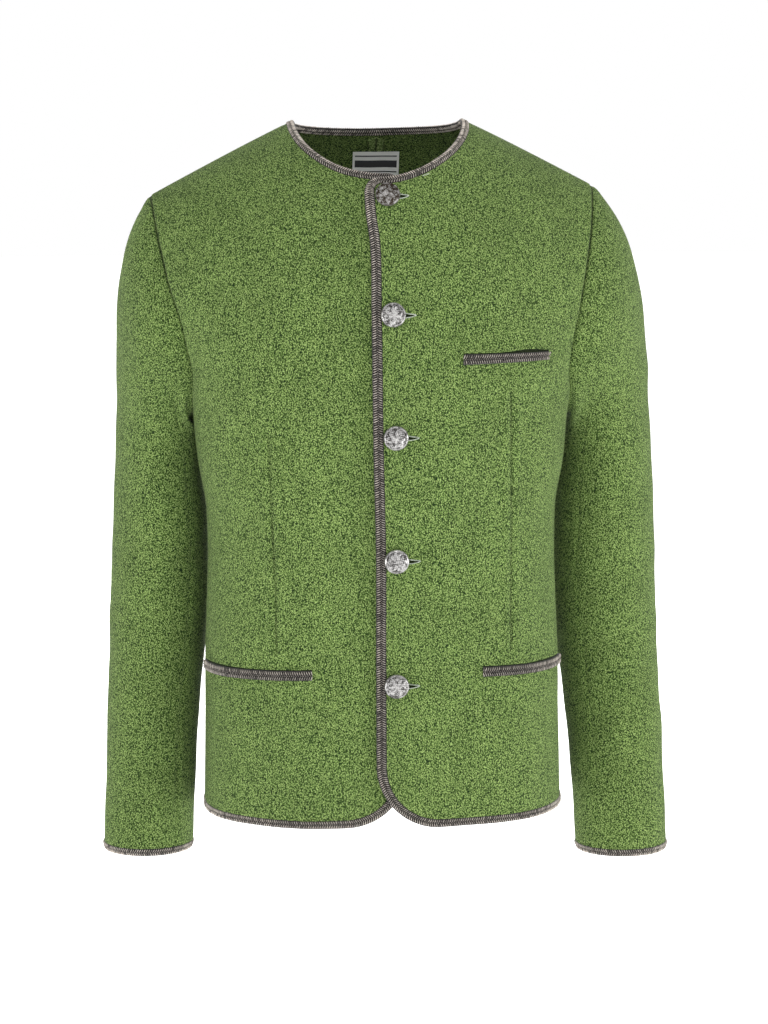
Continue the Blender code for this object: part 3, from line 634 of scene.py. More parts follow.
def make_felt():
    """Colour and height of felted wool: flecks plus hairs pick dark, middle or light."""
    tree, start, end = new_group(
        "felted_wool",
        (("Vector", "Vector", None), ("Dark", "Color", (0.02, 0.04, 0.01, 1)),
         ("Middle", "Color", (0.09, 0.15, 0.04, 1)), ("Light", "Color", (0.30, 0.36, 0.15, 1)),
         ("Seam", "Float", 0.05)),
        (("Color", "Color", None), ("Height", "Float", None)),
    )
    vector = start.outputs["Vector"]
    rising = hairs(tree, (-1150, 300), vector, (0.3, 0.6, 0.8), (1.0, 1.0, 0.5), 1500)
    falling = hairs(tree, (-1150, 0), vector, (-0.5, -0.7, 0.4), (1.0, 1.0, 0.5), 1600)
    level = hairs(tree, (-1150, -300), vector, (0.2, 1.5, 0.3), (1.0, 1.0, 0.5), 1400)
    ribs = hairs(tree, (-1150, -450), vector, (0.0, 0.0, 0.0), (1.0, 1.0, 0.06), 300)
    grain = noise(tree, (-950, -600), vector, 1100, 2.0, 0.6)
    cloud = noise(tree, (-950, -800), vector, 22, 3.0, 0.5)
    fleck = cells(tree, (-1250, 500), vector, (0.5, 0.2, 0.9), 860)
    light_hair = math_node(tree, "MAXIMUM", (-750, 300), rising, level)
    dark_hair = math_node(tree, "MINIMUM", (-750, 0), falling, level)
    both = math_node(tree, "ADD", (-600, 150), light_hair, dark_hair)
    value = math_node(tree, "ADD", (-450, 150), math_node(tree, "MULTIPLY", (-600, 300), fleck, 0.65),
                      mapped(tree, (-600, 0), both, 0.8, 1.2, -0.07, 0.41))
    light = mapped(tree, (-300, 300), value, 0.5, 0.90)
    dark = mapped(tree, (-300, 0), value, 0.5, 0.12)
    tone = math_node(tree, "ADD", (-400, -250), math_node(tree, "MULTIPLY", (-600, -250), ribs, 0.25),
                     math_node(tree, "MULTIPLY", (-600, -400), grain, 0.75))
    shade = mapped(tree, (-200, -250), tone, 0.40, 0.60, 0.75, 1.25)
    patches = mapped(tree, (-200, -500), cloud, 0.3, 0.7, 0.93, 1.08)
    shade = math_node(tree, "MULTIPLY", (0, -250), shade, patches)
    # Painted shade: the colour darkens to a quarter along seams and darts, where their valleys would be in
    # shade.
    painted_seam_shade = mapped(tree, (-200, -700), start.outputs["Seam"], 0.0003, 0.0019, 0.25, 1.0)
    shade = math_node(tree, "MULTIPLY", (150, -250), shade, painted_seam_shade)
    color = mix_color(tree, (0, 200), dark, start.outputs["Middle"], start.outputs["Dark"])
    color = mix_color(tree, (200, 200), light, color, start.outputs["Light"])
    scaled = add(tree, "ShaderNodeVectorMath", (420, 100), operation="SCALE")
    tree.links.new(color, scaled.inputs[0])
    tree.links.new(shade, scaled.inputs["Scale"])
    tree.links.new(scaled.outputs[0], end.inputs["Color"])
    height = math_node(tree, "ADD", (420, -100), math_node(tree, "MULTIPLY", (250, -60), light_hair, 0.6),
                       math_node(tree, "MULTIPLY", (250, -460), dark_hair, 0.5))
    height = math_node(tree, "ADD", (600, -100), height, math_node(tree, "MULTIPLY", (420, -300), ribs, 0.2))
    tree.links.new(height, end.inputs["Height"])
    return tree


FELT = make_felt()


# %% [markdown]
# Three wools share the felt: the outside, a painted shadow for the slits of the pockets and buttonholes, and
# the turnings, in paler colours than the outside. Each is a rough Principled shader with a little sheen, for
# the fibres that catch the light at a low angle.

# %% Wool materials
def base_material(name, **principled):
    """A material with its Principled shader's inputs set."""
    material = bpy.data.materials.new(name)
    material.use_nodes = True
    tree = material.node_tree
    shader = tree.nodes["Principled BSDF"]
    for key, value in principled.items():
        shader.inputs[key.replace("_", " ")].default_value = value
    return material, tree, shader


def use_group(tree, group, **values):
    """A group placed in a material, each input given a number, a colour or a link."""
    node = add(tree, "ShaderNodeGroup", (-600, 0))
    node.node_tree = group
    for key, value in values.items():
        if isinstance(value, bpy.types.NodeSocket):
            tree.links.new(value, node.inputs[key])
        else:
            node.inputs[key].default_value = value
    return node


def object_place(tree):
    """Position on the piece, in metres."""
    return add(tree, "ShaderNodeTexCoord", (-1000, 0)).outputs["Object"]


def read_mark(tree, name):
    """A value stored at the mesh's points."""
    return add(tree, "ShaderNodeAttribute", (-1000, -300), attribute_name=name).outputs["Fac"]


def bump(tree, shader, height, strength, distance):
    """Tilts the shader's normal by the slope of a height."""
    node = add(tree, "ShaderNodeBump", (-250, -300), Strength=strength, Distance=distance)
    tree.links.new(height, node.inputs["Height"])
    tree.links.new(node.outputs[0], shader.inputs["Normal"])


def wool_material(name, dark, middle, light, strength=0.9):
    """Felted wool in three colours."""
    material, tree, shader = base_material(name, Roughness=0.95, Sheen_Weight=0.09, Sheen_Roughness=0.45)
    shader.inputs["Sheen Tint"].default_value = (0.75, 0.85, 0.60, 1)
    shader.inputs["Specular IOR Level"].default_value = 0.15
    felt = use_group(tree, FELT, Vector=object_place(tree), Dark=(*dark, 1), Middle=(*middle, 1),
                     Light=(*light, 1), Seam=read_mark(tree, "seam"))
    tree.links.new(felt.outputs["Color"], shader.inputs["Base Color"])
    bump(tree, shader, felt.outputs["Height"], strength, 0.0011)
    return material


WOOL_OUT = wool_material("boiled_wool", (0.003, 0.012, 0.005), (0.078, 0.136, 0.028), (0.310, 0.420, 0.140))
# Painted shadow: a near-black wool for the thin sheets laid in the slits of pockets and buttonholes.
PAINTED_SLIT_SHADOW = wool_material("painted_slit_shadow", (0.004, 0.007, 0.002), (0.010, 0.016, 0.005), (0.02, 0.03, 0.01))
WOOL_TURNING = wool_material("turning_wool", (0.030, 0.058, 0.014), (0.140, 0.220, 0.060), (0.36, 0.44, 0.19))

# %% [markdown]
# Panels are sewn together with their edges turned in, which leaves a shallow valley along every seam. The
# distance from each grid point to the seams is known from the grid itself, so the outer face is pressed in
# by a bell curve of that distance, and the same distance is stored on the mesh for the shader to paint shade
# along the seams and darts.

# %% The body's panels
FRONT_GRID = (230, 132)
BACK_GRID = (190, 92)
panel_grids = {}


def edge_distance(points, which):
    """Distance along the grid's rows or columns from one of its edges."""
    axis = 0 if which in ("low", "high") else 1
    step = np.linalg.norm(np.diff(points, axis=axis), axis=-1)
    total = np.cumsum(step, axis=axis)
    zero = np.zeros_like(np.take(total, [0], axis=axis))
    from_start = np.concatenate([zero, total], axis=axis)
    if which in ("low", "left"):
        return from_start
    return np.take(from_start, [-1], axis=axis) - from_start


def surface_area(grid):
    """Sum over the cells of half the length of their diagonals' cross product."""
    a = np.cross(grid[1:, 1:] - grid[:-1, :-1], grid[1:, :-1] - grid[:-1, 1:])
    return float(np.linalg.norm(a, axis=-1).sum() / 2)


def cut(grid):
    """Greatest width and length of a panel along the cloth, and its area."""
    width, length = (np.linalg.norm(np.diff(grid, axis=k), axis=-1).sum(k).max() for k in (1, 0))
    return round(float(width), 3), round(float(length), 3), round(surface_area(grid), 4)


def faint(distance, least):
    """Seam distance for the shader, never less than a given one, so that the painted shade along the seam
    stays faint.
    """
    return np.maximum(distance, least)


def valley(distance, depth=0.0013, width=0.0019):
    """The dent along a seam, with a slight roll beside it."""
    roll = 0.0003 * np.exp(-(((distance - 0.0055) / 0.003) ** 2))
    return -depth * np.exp(-((distance / width) ** 2)) + roll


def panel(name, face, side, grid, seams):
    """A panel's slab: its outer face dented along seams and darts, its inner one a wool's depth in."""
    plain = skin(face, side, grid[..., 0], grid[..., 1])
    distance = np.minimum.reduce([edge_distance(plain, which) for which in seams])
    height = valley(distance)
    # The shader paints shade along seams and darts from this distance; lower down it never reaches 0, so the
    # painted shade is weaker there.
    distance = faint(distance, 0.0011 * smooth((-0.10 - plain[..., 2]) / 0.10))
    if face == "front":
        dart = dart_gap(side, plain)
        height = height + valley(dart, 0.0007, 0.0018) + 0.0007 * np.exp(-(((dart - 0.006) / 0.004) ** 2))
        distance = np.minimum(distance, faint(dart, 0.0010))
    outer = layer(face, side, grid, height)
    inner = layer(face, side, grid, -WOOL)
    panel_grids[name] = outer
    print(name, "cut", cut(plain))
    return wall(f"{name}_cloth", outer, inner, WOOL_OUT, distance, name)


for name, side in (("over", 1), ("under", -1)):
    grid = front_panel(name, side, *FRONT_GRID)
    panel(f"front_{name}", "front", side, grid, ("right", "high"))
for name, side in (("left", 1), ("right", -1)):
    grid = back_panel(side, *BACK_GRID)
    panel(f"back_{name}", "back", side, grid, ("left", "right", "high"))

# %% [markdown]
# A sleeve is cut in two pieces, a wide top and a narrow under sleeve. Its tube is a row of ellipses, and
# its head runs from the armhole's edge to the first ellipse as a smooth curve (cubic Hermite) that leaves the
# armhole in a chosen direction. The head has a little more cloth than the armhole, eased in, so it puckers.

# %% The sleeves' surface
SLEEVE_TOP_Z = -0.318
CUFF_Z = {-1: -0.7380, 1: -0.7505}
SLEEVE_TABLE = {
    "z": (-0.318, -0.360, -0.420, -0.480, -0.540, -0.600, -0.660, -0.750),
    "outer_1": (0.2792, 0.2825, 0.2855, 0.2875, 0.2890, 0.2908, 0.2930, 0.2958),
    "inner_1": (0.1850, 0.1805, 0.1780, 0.1785, 0.1855, 0.1925, 0.1973, 0.2020),
    "outer_-1": (0.2640, 0.2662, 0.2695, 0.2730, 0.2757, 0.2783, 0.2810, 0.2852),
    "inner_-1": (0.1800, 0.1745, 0.1710, 0.1720, 0.1785, 0.1852, 0.1895, 0.1945),
    "mid_y": (0.042, 0.045, 0.047, 0.046, 0.041, 0.033, 0.023, 0.013),
    "half_depth": (0.066, 0.066, 0.064, 0.060, 0.056, 0.051, 0.047, 0.044),
    "tilt": (0.024, 0.018, 0.010, 0.004, 0.001, 0.000, 0.000, 0.000),
}
LEAVE_TABLE = {
    "at": (0.0, 0.25, 0.5, 0.75, 1.0),
    "out_1": (0.72, 0.84, 0.93, 0.70, 0.20),
    "out_-1": (0.50, 0.74, 0.92, 0.66, 0.06),
    "forward": (0.00, 0.10, 0.10, 0.00, -0.25),
    "up": (-0.69, -0.52, -0.36, -0.62, -0.90),
}
HEAD_PULL = 0.95
SLEEVE_SEAM = {"front": 0.70, "back": 0.62}
ARM_COUNT = 66
HEAD_COUNT = 62
TUBE_COUNT = 96


def sleeve_ring(side, round_at, z):
    """A point of the tube, round_at 0 at the outer side and a half turn at the inner side."""
    outer = curve(SLEEVE_TABLE, "z", f"outer_{side}", z)
    inner = curve(SLEEVE_TABLE, "z", f"inner_{side}", z)
    depth = curve(SLEEVE_TABLE, "z", "half_depth", z)
    x = (outer + inner) / 2 + (outer - inner) / 2 * np.cos(round_at)
    y = curve(SLEEVE_TABLE, "z", "mid_y", z) - depth * np.sin(round_at)
    return np.stack([side * x, y, z + curve(SLEEVE_TABLE, "z", "tilt", z) * np.cos(round_at)], axis=-1)


def arm_loop(side):
    """The armhole's edge from the shoulder over the front to the armpit and back up, with normals."""
    paths = (("front", armhole("front", side, ARM_COUNT)[::-1]), ("back", armhole("back", side, ARM_COUNT)))
    points = [layer(face, side, path, 0.0) for face, path in paths]
    normals = [slopes(face, side, path)[2] for face, path in paths]
    shoulder, armpit = [(points[0][i] + points[1][-1 - i]) / 2 for i in (0, -1)]
    loop = np.concatenate([[shoulder], points[0][1:-1], [armpit], points[1][1:-1]])
    normal = np.concatenate([normals[0][:-1], normals[1][:-1]])
    away = unit(np.cross(normal, np.roll(loop, -1, 0) - np.roll(loop, 1, 0))) * side
    return loop, normal, away


def forward_part(amount, round_at):
    """The forward share of a direction: forward at the front half, its size always back behind."""
    return np.where(round_at <= math.pi, -amount, amount * np.where(amount < 0, -1, 1))


def sleeve_rows(side):
    """Points of the whole sleeve, a row for each ring: the head's curves, then the tube's ellipses."""
    loop, first_normal, away = arm_loop(side)
    count = len(loop)
    half = count // 2
    length = np.append(0, np.cumsum(np.linalg.norm(np.roll(loop, -1, 0) - loop, axis=1)))
    round_at = np.empty(count)
    round_at[: half + 1] = math.pi * length[: half + 1] / length[half]
    round_at[half:] = math.pi * (1 + (length[half:count] - length[half]) / (length[count] - length[half]))
    near = np.minimum(round_at, 2 * math.pi - round_at) / math.pi
    leave = [curve(LEAVE_TABLE, "at", key, near) for key in (f"out_{side}", "forward", "up")]
    direction = np.stack([side * leave[0], forward_part(leave[1], round_at), leave[2]], axis=-1)
    start = loop + away * ARMHOLE_SEAM
    end = sleeve_ring(side, round_at, np.full(count, SLEEVE_TOP_Z))
    below = sleeve_ring(side, round_at, np.full(count, SLEEVE_TOP_Z - 0.01))
    span = np.linalg.norm(end - start, axis=1, keepdims=True)
    leave_by = unit(direction) * span * HEAD_PULL
    arrive_by = unit(below - end) * span * HEAD_PULL
    t = np.linspace(0, 1, HEAD_COUNT + 1)[:, None, None]
    head = start * (1 + 2 * t) * (1 - t) ** 2 + end * t * t * (3 - 2 * t)
    head = head + leave_by * t * (1 - t) ** 2 - arrive_by * t * t * (1 - t)
    z = np.linspace(SLEEVE_TOP_Z, CUFF_Z[side] + EDGE_BRAID + SEAM, TUBE_COUNT + 1)[1:]
    arm = sleeve_ring(side, np.tile(round_at, (TUBE_COUNT, 1)), np.tile(z[:, None], (1, count)))
    return np.concatenate([head, arm]), first_normal, round_at


# %% [markdown]
# The arms hang with a slight bend at the elbow. That presses soft slanting dents into the inside of the
# bend and leaves the outside smooth. The eased sleeve head has small swells just outside the armhole seam.

# %% Sleeve folds and pieces
ARM_FOLDS = {  # centre as part of a turn and height z, slant, half length in turns, width, height
    1: ((0.12, -0.245, 0.10, 0.10, 0.016, 0.0016), (0.22, -0.430, 0.16, 0.16, 0.013, -0.0020),
        (0.28, -0.468, 0.18, 0.16, 0.014, 0.0024), (0.20, -0.520, -0.12, 0.15, 0.014, -0.0018),
        (0.10, -0.610, 0.10, 0.15, 0.020, 0.0020), (0.30, -0.660, -0.10, 0.13, 0.016, -0.0016),
        (0.70, -0.450, 0.15, 0.14, 0.018, 0.0024), (0.78, -0.560, -0.15, 0.14, 0.020, -0.0022),
        (0.46, -0.345, 0.00, 0.10, 0.040, 0.0014)),
    -1: ((0.14, -0.250, 0.10, 0.10, 0.016, 0.0016), (0.20, -0.405, 0.20, 0.16, 0.013, -0.0022),
         (0.24, -0.447, 0.24, 0.18, 0.013, 0.0026), (0.26, -0.490, 0.20, 0.15, 0.014, -0.0022),
         (0.12, -0.585, 0.12, 0.15, 0.020, 0.0020), (0.26, -0.640, -0.12, 0.13, 0.016, -0.0018),
         (0.72, -0.440, 0.15, 0.14, 0.018, 0.0024), (0.76, -0.550, -0.15, 0.14, 0.020, -0.0022),
         (0.44, -0.312, 0.00, 0.16, 0.036, 0.0060)),
}


def arm_swell(side, points, turns, from_seam):
    """Folds of the sleeve and the swells of its eased head."""
    z = points[..., 2]
    rise = np.zeros(z.shape)
    for middle, z0, slant, half, width, height in ARM_FOLDS[side]:
        off = (turns - middle + 0.5) % 1 - 0.5
        rise += height * np.exp(-(((z - z0 - slant * off) / width) ** 2) - (off / half) ** 2)
    ease = np.exp(-((from_seam - 0.007) / 0.007) ** 2) * smooth((z + 0.24) / 0.08)
    rise += 0.0009 * ease * np.sin(turns * 2 * math.pi * 22)
    rise += 0.0005 * np.sin(turns * 6 * math.pi + z * 40) * np.cos(z * 57)
    return rise * smooth(from_seam / 0.012)


def make_sleeve(name, side):
    """Both pieces of a sleeve, each a slab from the tube's columns between its seams."""
    rows, first_normal, round_at = sleeve_rows(side)
    down = np.gradient(rows, axis=0)
    about = np.roll(rows, -1, 1) - np.roll(rows, 1, 1)
    normal = unit(np.cross(about, down)) * side
    blend = smooth(np.linspace(0, 7, len(rows)))[:, None, None]
    normal = unit(normal * blend + first_normal * (1 - blend))
    from_seam = edge_distance(rows, "low")
    turns = np.tile(round_at / (2 * math.pi), (len(rows), 1))
    plain = rows + normal * arm_swell(side, rows, turns, from_seam)[..., None]
    count = rows.shape[1]
    front = round(SLEEVE_SEAM["front"] * count / 2)
    back = count - round(SLEEVE_SEAM["back"] * count / 2)
    parts = {"top": np.arange(back - count, front + 1), "under": np.arange(front, back + 1)}
    for part, columns in parts.items():
        outside, out_normal = plain[:, columns % count], normal[:, columns % count]
        long_seam = np.minimum(edge_distance(outside, "left"), edge_distance(outside, "right"))
        arm_seam = edge_distance(outside, "low")
        dent = valley(arm_seam) + valley(long_seam, 0.0005, 0.0016)
        # The same painted seam shade on the sleeves, weaker below the armhole and along the long seams.
        distance = faint(arm_seam, 0.0011 * smooth((-0.10 - outside[..., 2]) / 0.10))
        distance = np.minimum(distance, faint(long_seam, 0.0016))
        shift = np.zeros_like(outside)
        for edge, beside in ((0, 1), (-1, -2)):
            shift[:, edge] = unit(outside[:, beside] - outside[:, edge]) * SEAM_SIDE
        inner = outside - out_normal * WOOL + shift
        outer = outside + out_normal * dent[..., None] - shift * 0.2
        node = f"sleeve_{part}_{name}"
        panel_grids[node] = outer
        wall(f"{node}_cloth", outer, inner, WOOL_OUT, distance, node)
        print(node, "cut", cut(rows[:, columns % count]))


make_sleeve("left", 1)
make_sleeve("right", -1)

# %% [markdown]
# The edges are bound with a knitted wool braid. It folds round the cloth's raw edge and shows two columns of
# slanting loops with a narrow one between them, in light and dark yarn. A rounded core closes the shape and
# carries its shade. Every loop is a small dome laid on it, and the columns lean opposite ways.

# %% Braid materials
def make_yarn():
    """Colour and height of yarn: the loop's own tone, changed by fuzz and by slow patches."""
    tree, start, end = new_group(
        "yarn",
        (("Vector", "Vector", None), ("Tone", "Float", 0.5), ("Dark", "Color", (0.05, 0.05, 0.05, 1)),
         ("Light", "Color", (0.4, 0.4, 0.4, 1))),
        (("Color", "Color", None), ("Height", "Float", None)),
    )
    vector = start.outputs["Vector"]
    fuzz = noise(tree, (-900, 0), vector, 1400, 3.0, 0.6, 0.6)
    patchy = noise(tree, (-900, -300), vector, 90, 2.0, 0.5)
    tone = math_node(tree, "ADD", (-600, 0), start.outputs["Tone"], mapped(
        tree, (-750, -150), fuzz, 0.3, 0.7, -0.22, 0.22))
    tone = math_node(tree, "MULTIPLY", (-450, 0), tone, mapped(
        tree, (-600, -300), patchy, 0.3, 0.7, 0.80, 1.15))
    color = mix_color(tree, (-200, 0), mapped(tree, (-350, 0), tone, 0.0, 1.0), start.outputs["Dark"],
                      start.outputs["Light"])
    tree.links.new(color, end.inputs["Color"])
    tree.links.new(fuzz, end.inputs["Height"])
    return tree


YARN = make_yarn()


def yarn_material(name, dark, light, strength=0.5):
    """Yarn from a dark to a light colour."""
    material, tree, shader = base_material(name, Roughness=0.88, Sheen_Weight=0.2, Sheen_Roughness=0.5)
    shader.inputs["Specular IOR Level"].default_value = 0.2
    yarn = use_group(tree, YARN, Vector=object_place(tree), Tone=read_mark(tree, "tone"),
                     Dark=(*dark, 1), Light=(*light, 1))
    tree.links.new(yarn.outputs["Color"], shader.inputs["Base Color"])
    bump(tree, shader, yarn.outputs["Height"], strength, 0.0004)
    return material


BRAID = yarn_material("braid_yarn", (0.005, 0.004, 0.004), (0.690, 0.625, 0.550))
THREAD = yarn_material("buttonhole_thread", (0.20, 0.24, 0.18), (0.55, 0.59, 0.51))

# %% [markdown]
# The core is one section, shaped like a hairpin, carried along the edge of the cloth. A curve with a bevel
# would be quicker, but its section keeps one shape, and this one has to lie on curved cloth on both sides.
# The loops follow the same edge at even steps, as a machine knits them.

# %% Braid round the edges
STITCH_STEP = 0.0023
STITCH_COLUMNS = ((0.25, 0.44, 1.0), (0.52, 0.12, 0.5), (0.76, 0.40, 0.8))
INNER_COLUMNS = ((0.28, 0.44, 1.0), (0.75, 0.42, 1.0))
BRAID_SECTION = (  # share of the width from the outer edge, and height over the cloth
    (1.00, 0.0000), (0.93, 0.0002), (0.70, 0.0003), (0.52, 0.0001), (0.34, 0.0003),
    (0.14, 0.0000), (0.03, -0.0009), (0.00, -WOOL / 2), (0.03, -WOOL + 0.0009),
    (0.14, -WOOL), (0.40, -WOOL - 0.0003), (0.75, -WOOL - 0.0003), (1.00, -WOOL),
)


def stitches(name, line, columns=STITCH_COLUMNS, inside=False):
    """Loops in columns along a band: each has its place over the width, its length across and its tone.

    line(share, height) gives the band's points at a share of its width and a height over the cloth."""
    places, tones = [], []
    flip = -1 if inside else 1
    for number, (share, reach, bright) in enumerate(columns):
        lift = -WOOL - 0.0002 if inside else 0.0002
        curl = 0.00015 if share < 0.3 else 0.0
        here = line(share, lift - curl * flip)
        width = (line(share + 0.1, lift) - line(share - 0.1, lift - 2 * curl * flip)) * 5
        up = unit(line(share, lift + 0.001 * flip) - line(share, lift))
        forward = unit(np.gradient(here, axis=0))
        across = unit(width)
        crossed = np.cross(across, forward)
        up = unit(crossed * np.sign((crossed * up).sum(-1, keepdims=True)))
        lean = 0.0015 if number == 2 else -0.0015
        long = width * reach + forward * lean * (1.0 if reach > 0.2 else 0.0)
        long = long + up * random.normal(0, 0.0001, (len(here), 1))
        broad = unit(np.cross(up, unit(long)))
        scale = 1 + random.normal(0, 0.06, (len(here), 1))
        places.append([here + forward * STITCH_STEP * (0.5 if number % 2 else 0.0),
                       long * scale, broad * 0.00080 * scale, up * 0.00125 * scale])
        spread = random.random(len(here))
        tones.append(np.where(spread < 0.10, 0.25, 0.50 + 0.50 * spread) * bright)
    places = [np.concatenate([p[k] for p in places]) for k in range(4)]
    return flakes(name, places, STITCH, STITCH_FACES, BRAID, np.concatenate(tones))


def binding(node, face, side, outline, inner, length):
    """The braid's core and its loops, outside and inside, between two paths over the body."""
    def line(share, height):
        """Points at a share of the braid's width and a height over the cloth."""
        return layer(face, side, outline + (inner - outline) * share, np.asarray(height))

    core = np.stack([line(share, height) for share, height in BRAID_SECTION], axis=1)
    tube(f"{node}_core", core, BRAID, node=node)
    outside = stitches(f"{node}_loops", line)
    within = stitches(f"{node}_loops_inside", line, INNER_COLUMNS, inside=True)
    print(node, "length", round(length, 4))


def banded(face, side, outline, width):
    """Outline and inner path with a point at each row of loops."""
    length = gone(face, side, outline)[-1]
    path = even(face, side, outline, round(length / STITCH_STEP))
    if callable(width):
        width = width(gone(face, side, path))
    return path, inset(face, side, path, (1 if face == "front" else -1) * side * width), length


def bind_body():
    """Braid on both fronts, then on the neck and hem of both half backs."""
    for name, side in (("over", 1), ("under", -1)):
        outline = joined(front_outline(name, side))
        at, widths = front_width(name, side)
        path, inner, length = banded("front", side, outline, lambda s: np.interp(s, at, widths))
        inner[0, 1], inner[-1, 0] = path[0, 1], path[-1, 0]
        binding(f"binding_{name}", "front", side, path, inner, length)
    for name, side in (("left", 1), ("right", -1)):
        neck, hem = back_outline(side)
        path, inner, length = banded("back", side, neck, EDGE_BRAID)
        inner[0, 1], inner[-1, 0] = path[0, 1], path[-1, 0]
        binding(f"binding_neck_{name}", "back", side, path, inner, length)
        path = even("back", side, hem, round(gone("back", side, hem)[-1] / STITCH_STEP))
        length = gone("back", side, hem)[-1]
        inner = path - np.array([0, EDGE_BRAID])
        binding(f"binding_hem_{name}", "back", side, path, inner, length)


bind_body()

# %% [markdown]
# A cuff is a ring, so its braid has no ends: the last section joins the first. The lower edge is drawn in a
# little, because the tape is sewn on slightly short to keep the cuff from flaring.

# %% Braid round the cuffs
def bind_cuff(name, side):
    """Braid on one cuff: the section at even angles round the tube's last ellipse."""
    ring = sleeve_ring(side, np.linspace(0, 2 * math.pi, 400), np.full(400, CUFF_Z[side]))
    length = float(np.linalg.norm(np.diff(ring, axis=0), axis=1).sum())
    count = round(length / STITCH_STEP)
    around = np.linspace(0, 2 * math.pi, count, endpoint=False)

    def line(share, height):
        """Points at a share of the braid's width and a height over the cloth."""
        here = sleeve_ring(side, around, np.full(count, CUFF_Z[side] + EDGE_BRAID * share))
        about = np.roll(here, -1, 0) - np.roll(here, 1, 0)
        height = height - 0.0022 * (1 - share) ** 2
        return here + unit(np.cross(about, [0, 0, -1])) * side * height

    core = np.stack([line(share, height) for share, height in BRAID_SECTION], axis=1)
    node = f"binding_cuff_{name}"
    tube(f"{node}_core", core, BRAID, closed=True, node=node)
    outside = stitches(f"{node}_loops", line)
    within = stitches(f"{node}_loops_inside", line, INNER_COLUMNS, inside=True)
    print(node, "length", round(length, 4))


for cuff_name, cuff_side in (("left", 1), ("right", -1)):
    bind_cuff(cuff_name, cuff_side)

# %% [markdown]
# The welt pockets are slits whose lower lip is a strip of the same braid. Above each strip the wool rolls
# over a little, and the slit between them is a thin dark sheet of painted shadow. The breast pocket gapes at
# its outer end.

# %% Pockets
WELTS = {
    "pocket_breast": (1, 0.0725, 0.1575, -0.2274, 0.0000),
    "pocket_hip_left": (1, 0.0916, 0.1752, -0.5360, -0.0035),
    "pocket_hip_right": (-1, 0.0763, 0.1772, -0.5355, -0.0045),
}
WELT_HEIGHT = 0.0098
WELT_COLUMNS = ((0.24, 0.40, 0.7), (0.52, 0.12, 0.4), (0.77, 0.40, 0.75))
GAPE = {"pocket_breast": 0.0030, "pocket_hip_left": 0.0009, "pocket_hip_right": 0.0010}


def strip(side, path, ups, heights):
    """Points of a band along a path: each with its own step up the cloth and height over it."""
    return np.stack([layer("front", side, path + [0, -1] * np.reshape(up, (-1, 1)), height)
                     for up, height in zip(ups, heights)], axis=1)


def make_pocket(node):
    """A welt of braid, the slit above it and the wool's rolled lip."""
    side, near_x, far_x, z, rise = WELTS[node]
    path = find("front", np.linspace(near_x, far_x, 200), z + rise * np.linspace(0, 1, 200))
    length = gone("front", side, path)[-1]
    path = even("front", side, path, round(length / STITCH_STEP))
    half = WELT_HEIGHT / 2
    ends = np.minimum(np.arange(len(path)), np.arange(len(path))[::-1]) / 2
    round_off = np.sqrt(np.clip(ends + 0.3, 0, 1))

    def line(share, height):
        """Points at a share of the braid's width and a height over the cloth."""
        return layer("front", side, path + [0, -1] * (half * (2 * share - 1) * np.ones((len(path), 1))),
                     np.asarray(height) + 0.0012)

    section = ((1.0, -0.0004), (0.96, 0.0012), (0.75, 0.0019), (0.5, 0.0013), (0.25, 0.0019),
               (0.04, 0.0012), (0.0, -0.0004))
    core = np.stack([line(share, (height + 0.0004) * round_off - 0.0004)
                     for share, height in section], axis=1)
    tube(f"{node}_core", core, BRAID, node=node)
    loops = stitches(f"{node}_loops", lambda share, height: line(share, height + 0.0012), WELT_COLUMNS)
    share = np.linspace(0, 1, len(path))
    gape = 0.0010 + GAPE[node] * np.exp(-(((share - 0.72) / 0.22) ** 2)) * (0.25 + share)
    slit = strip(side, path, [np.full(len(path), half - 0.0008), half + gape],
                 [np.full(len(path), 0.0006)] * 2)
    under = slit - slopes("front", side, path)[2][:, None] * 0.0004
    # Painted shadow: a thin dark sheet in the slit stands in for the shade inside the pocket.
    shadow = wall(f"{node}_slit_shadow", slit, under, PAINTED_SLIT_SHADOW)
    steps = (0.0, 0.0003, 0.0012, 0.0024, 0.0040)
    lifts = (0.0004, 0.0013, 0.0015, 0.0009, 0.00005)
    lip = strip(side, path, [half + gape - 0.0002 + s for s in steps], [np.full(len(path), h) for h in lifts])
    low = strip(side, path, [half + gape - 0.0002 + s for s in steps], [np.full(len(path), -0.0004)] * 5)
    fade = round_off[:, None, None]
    behind = low - slopes("front", side, path)[2][:, None] * 0.0003
    rolled = wall(f"{node}_lip", low + (lip - low) * fade, behind, WOOL_OUT)
    print(node, "length", round(length, 4))


for welt in WELTS:
    make_pocket(welt)

# %% [markdown]
# The buttons are domed white metal with a flower in relief, darkened in the hollows and rubbed bright on
# what stands out. Each is a height drawn over a disc in polar coordinates: a roped rim, small leaves and
# twigs, and a flower of six pointed petals. The height is stored too, so that the finish can follow it.

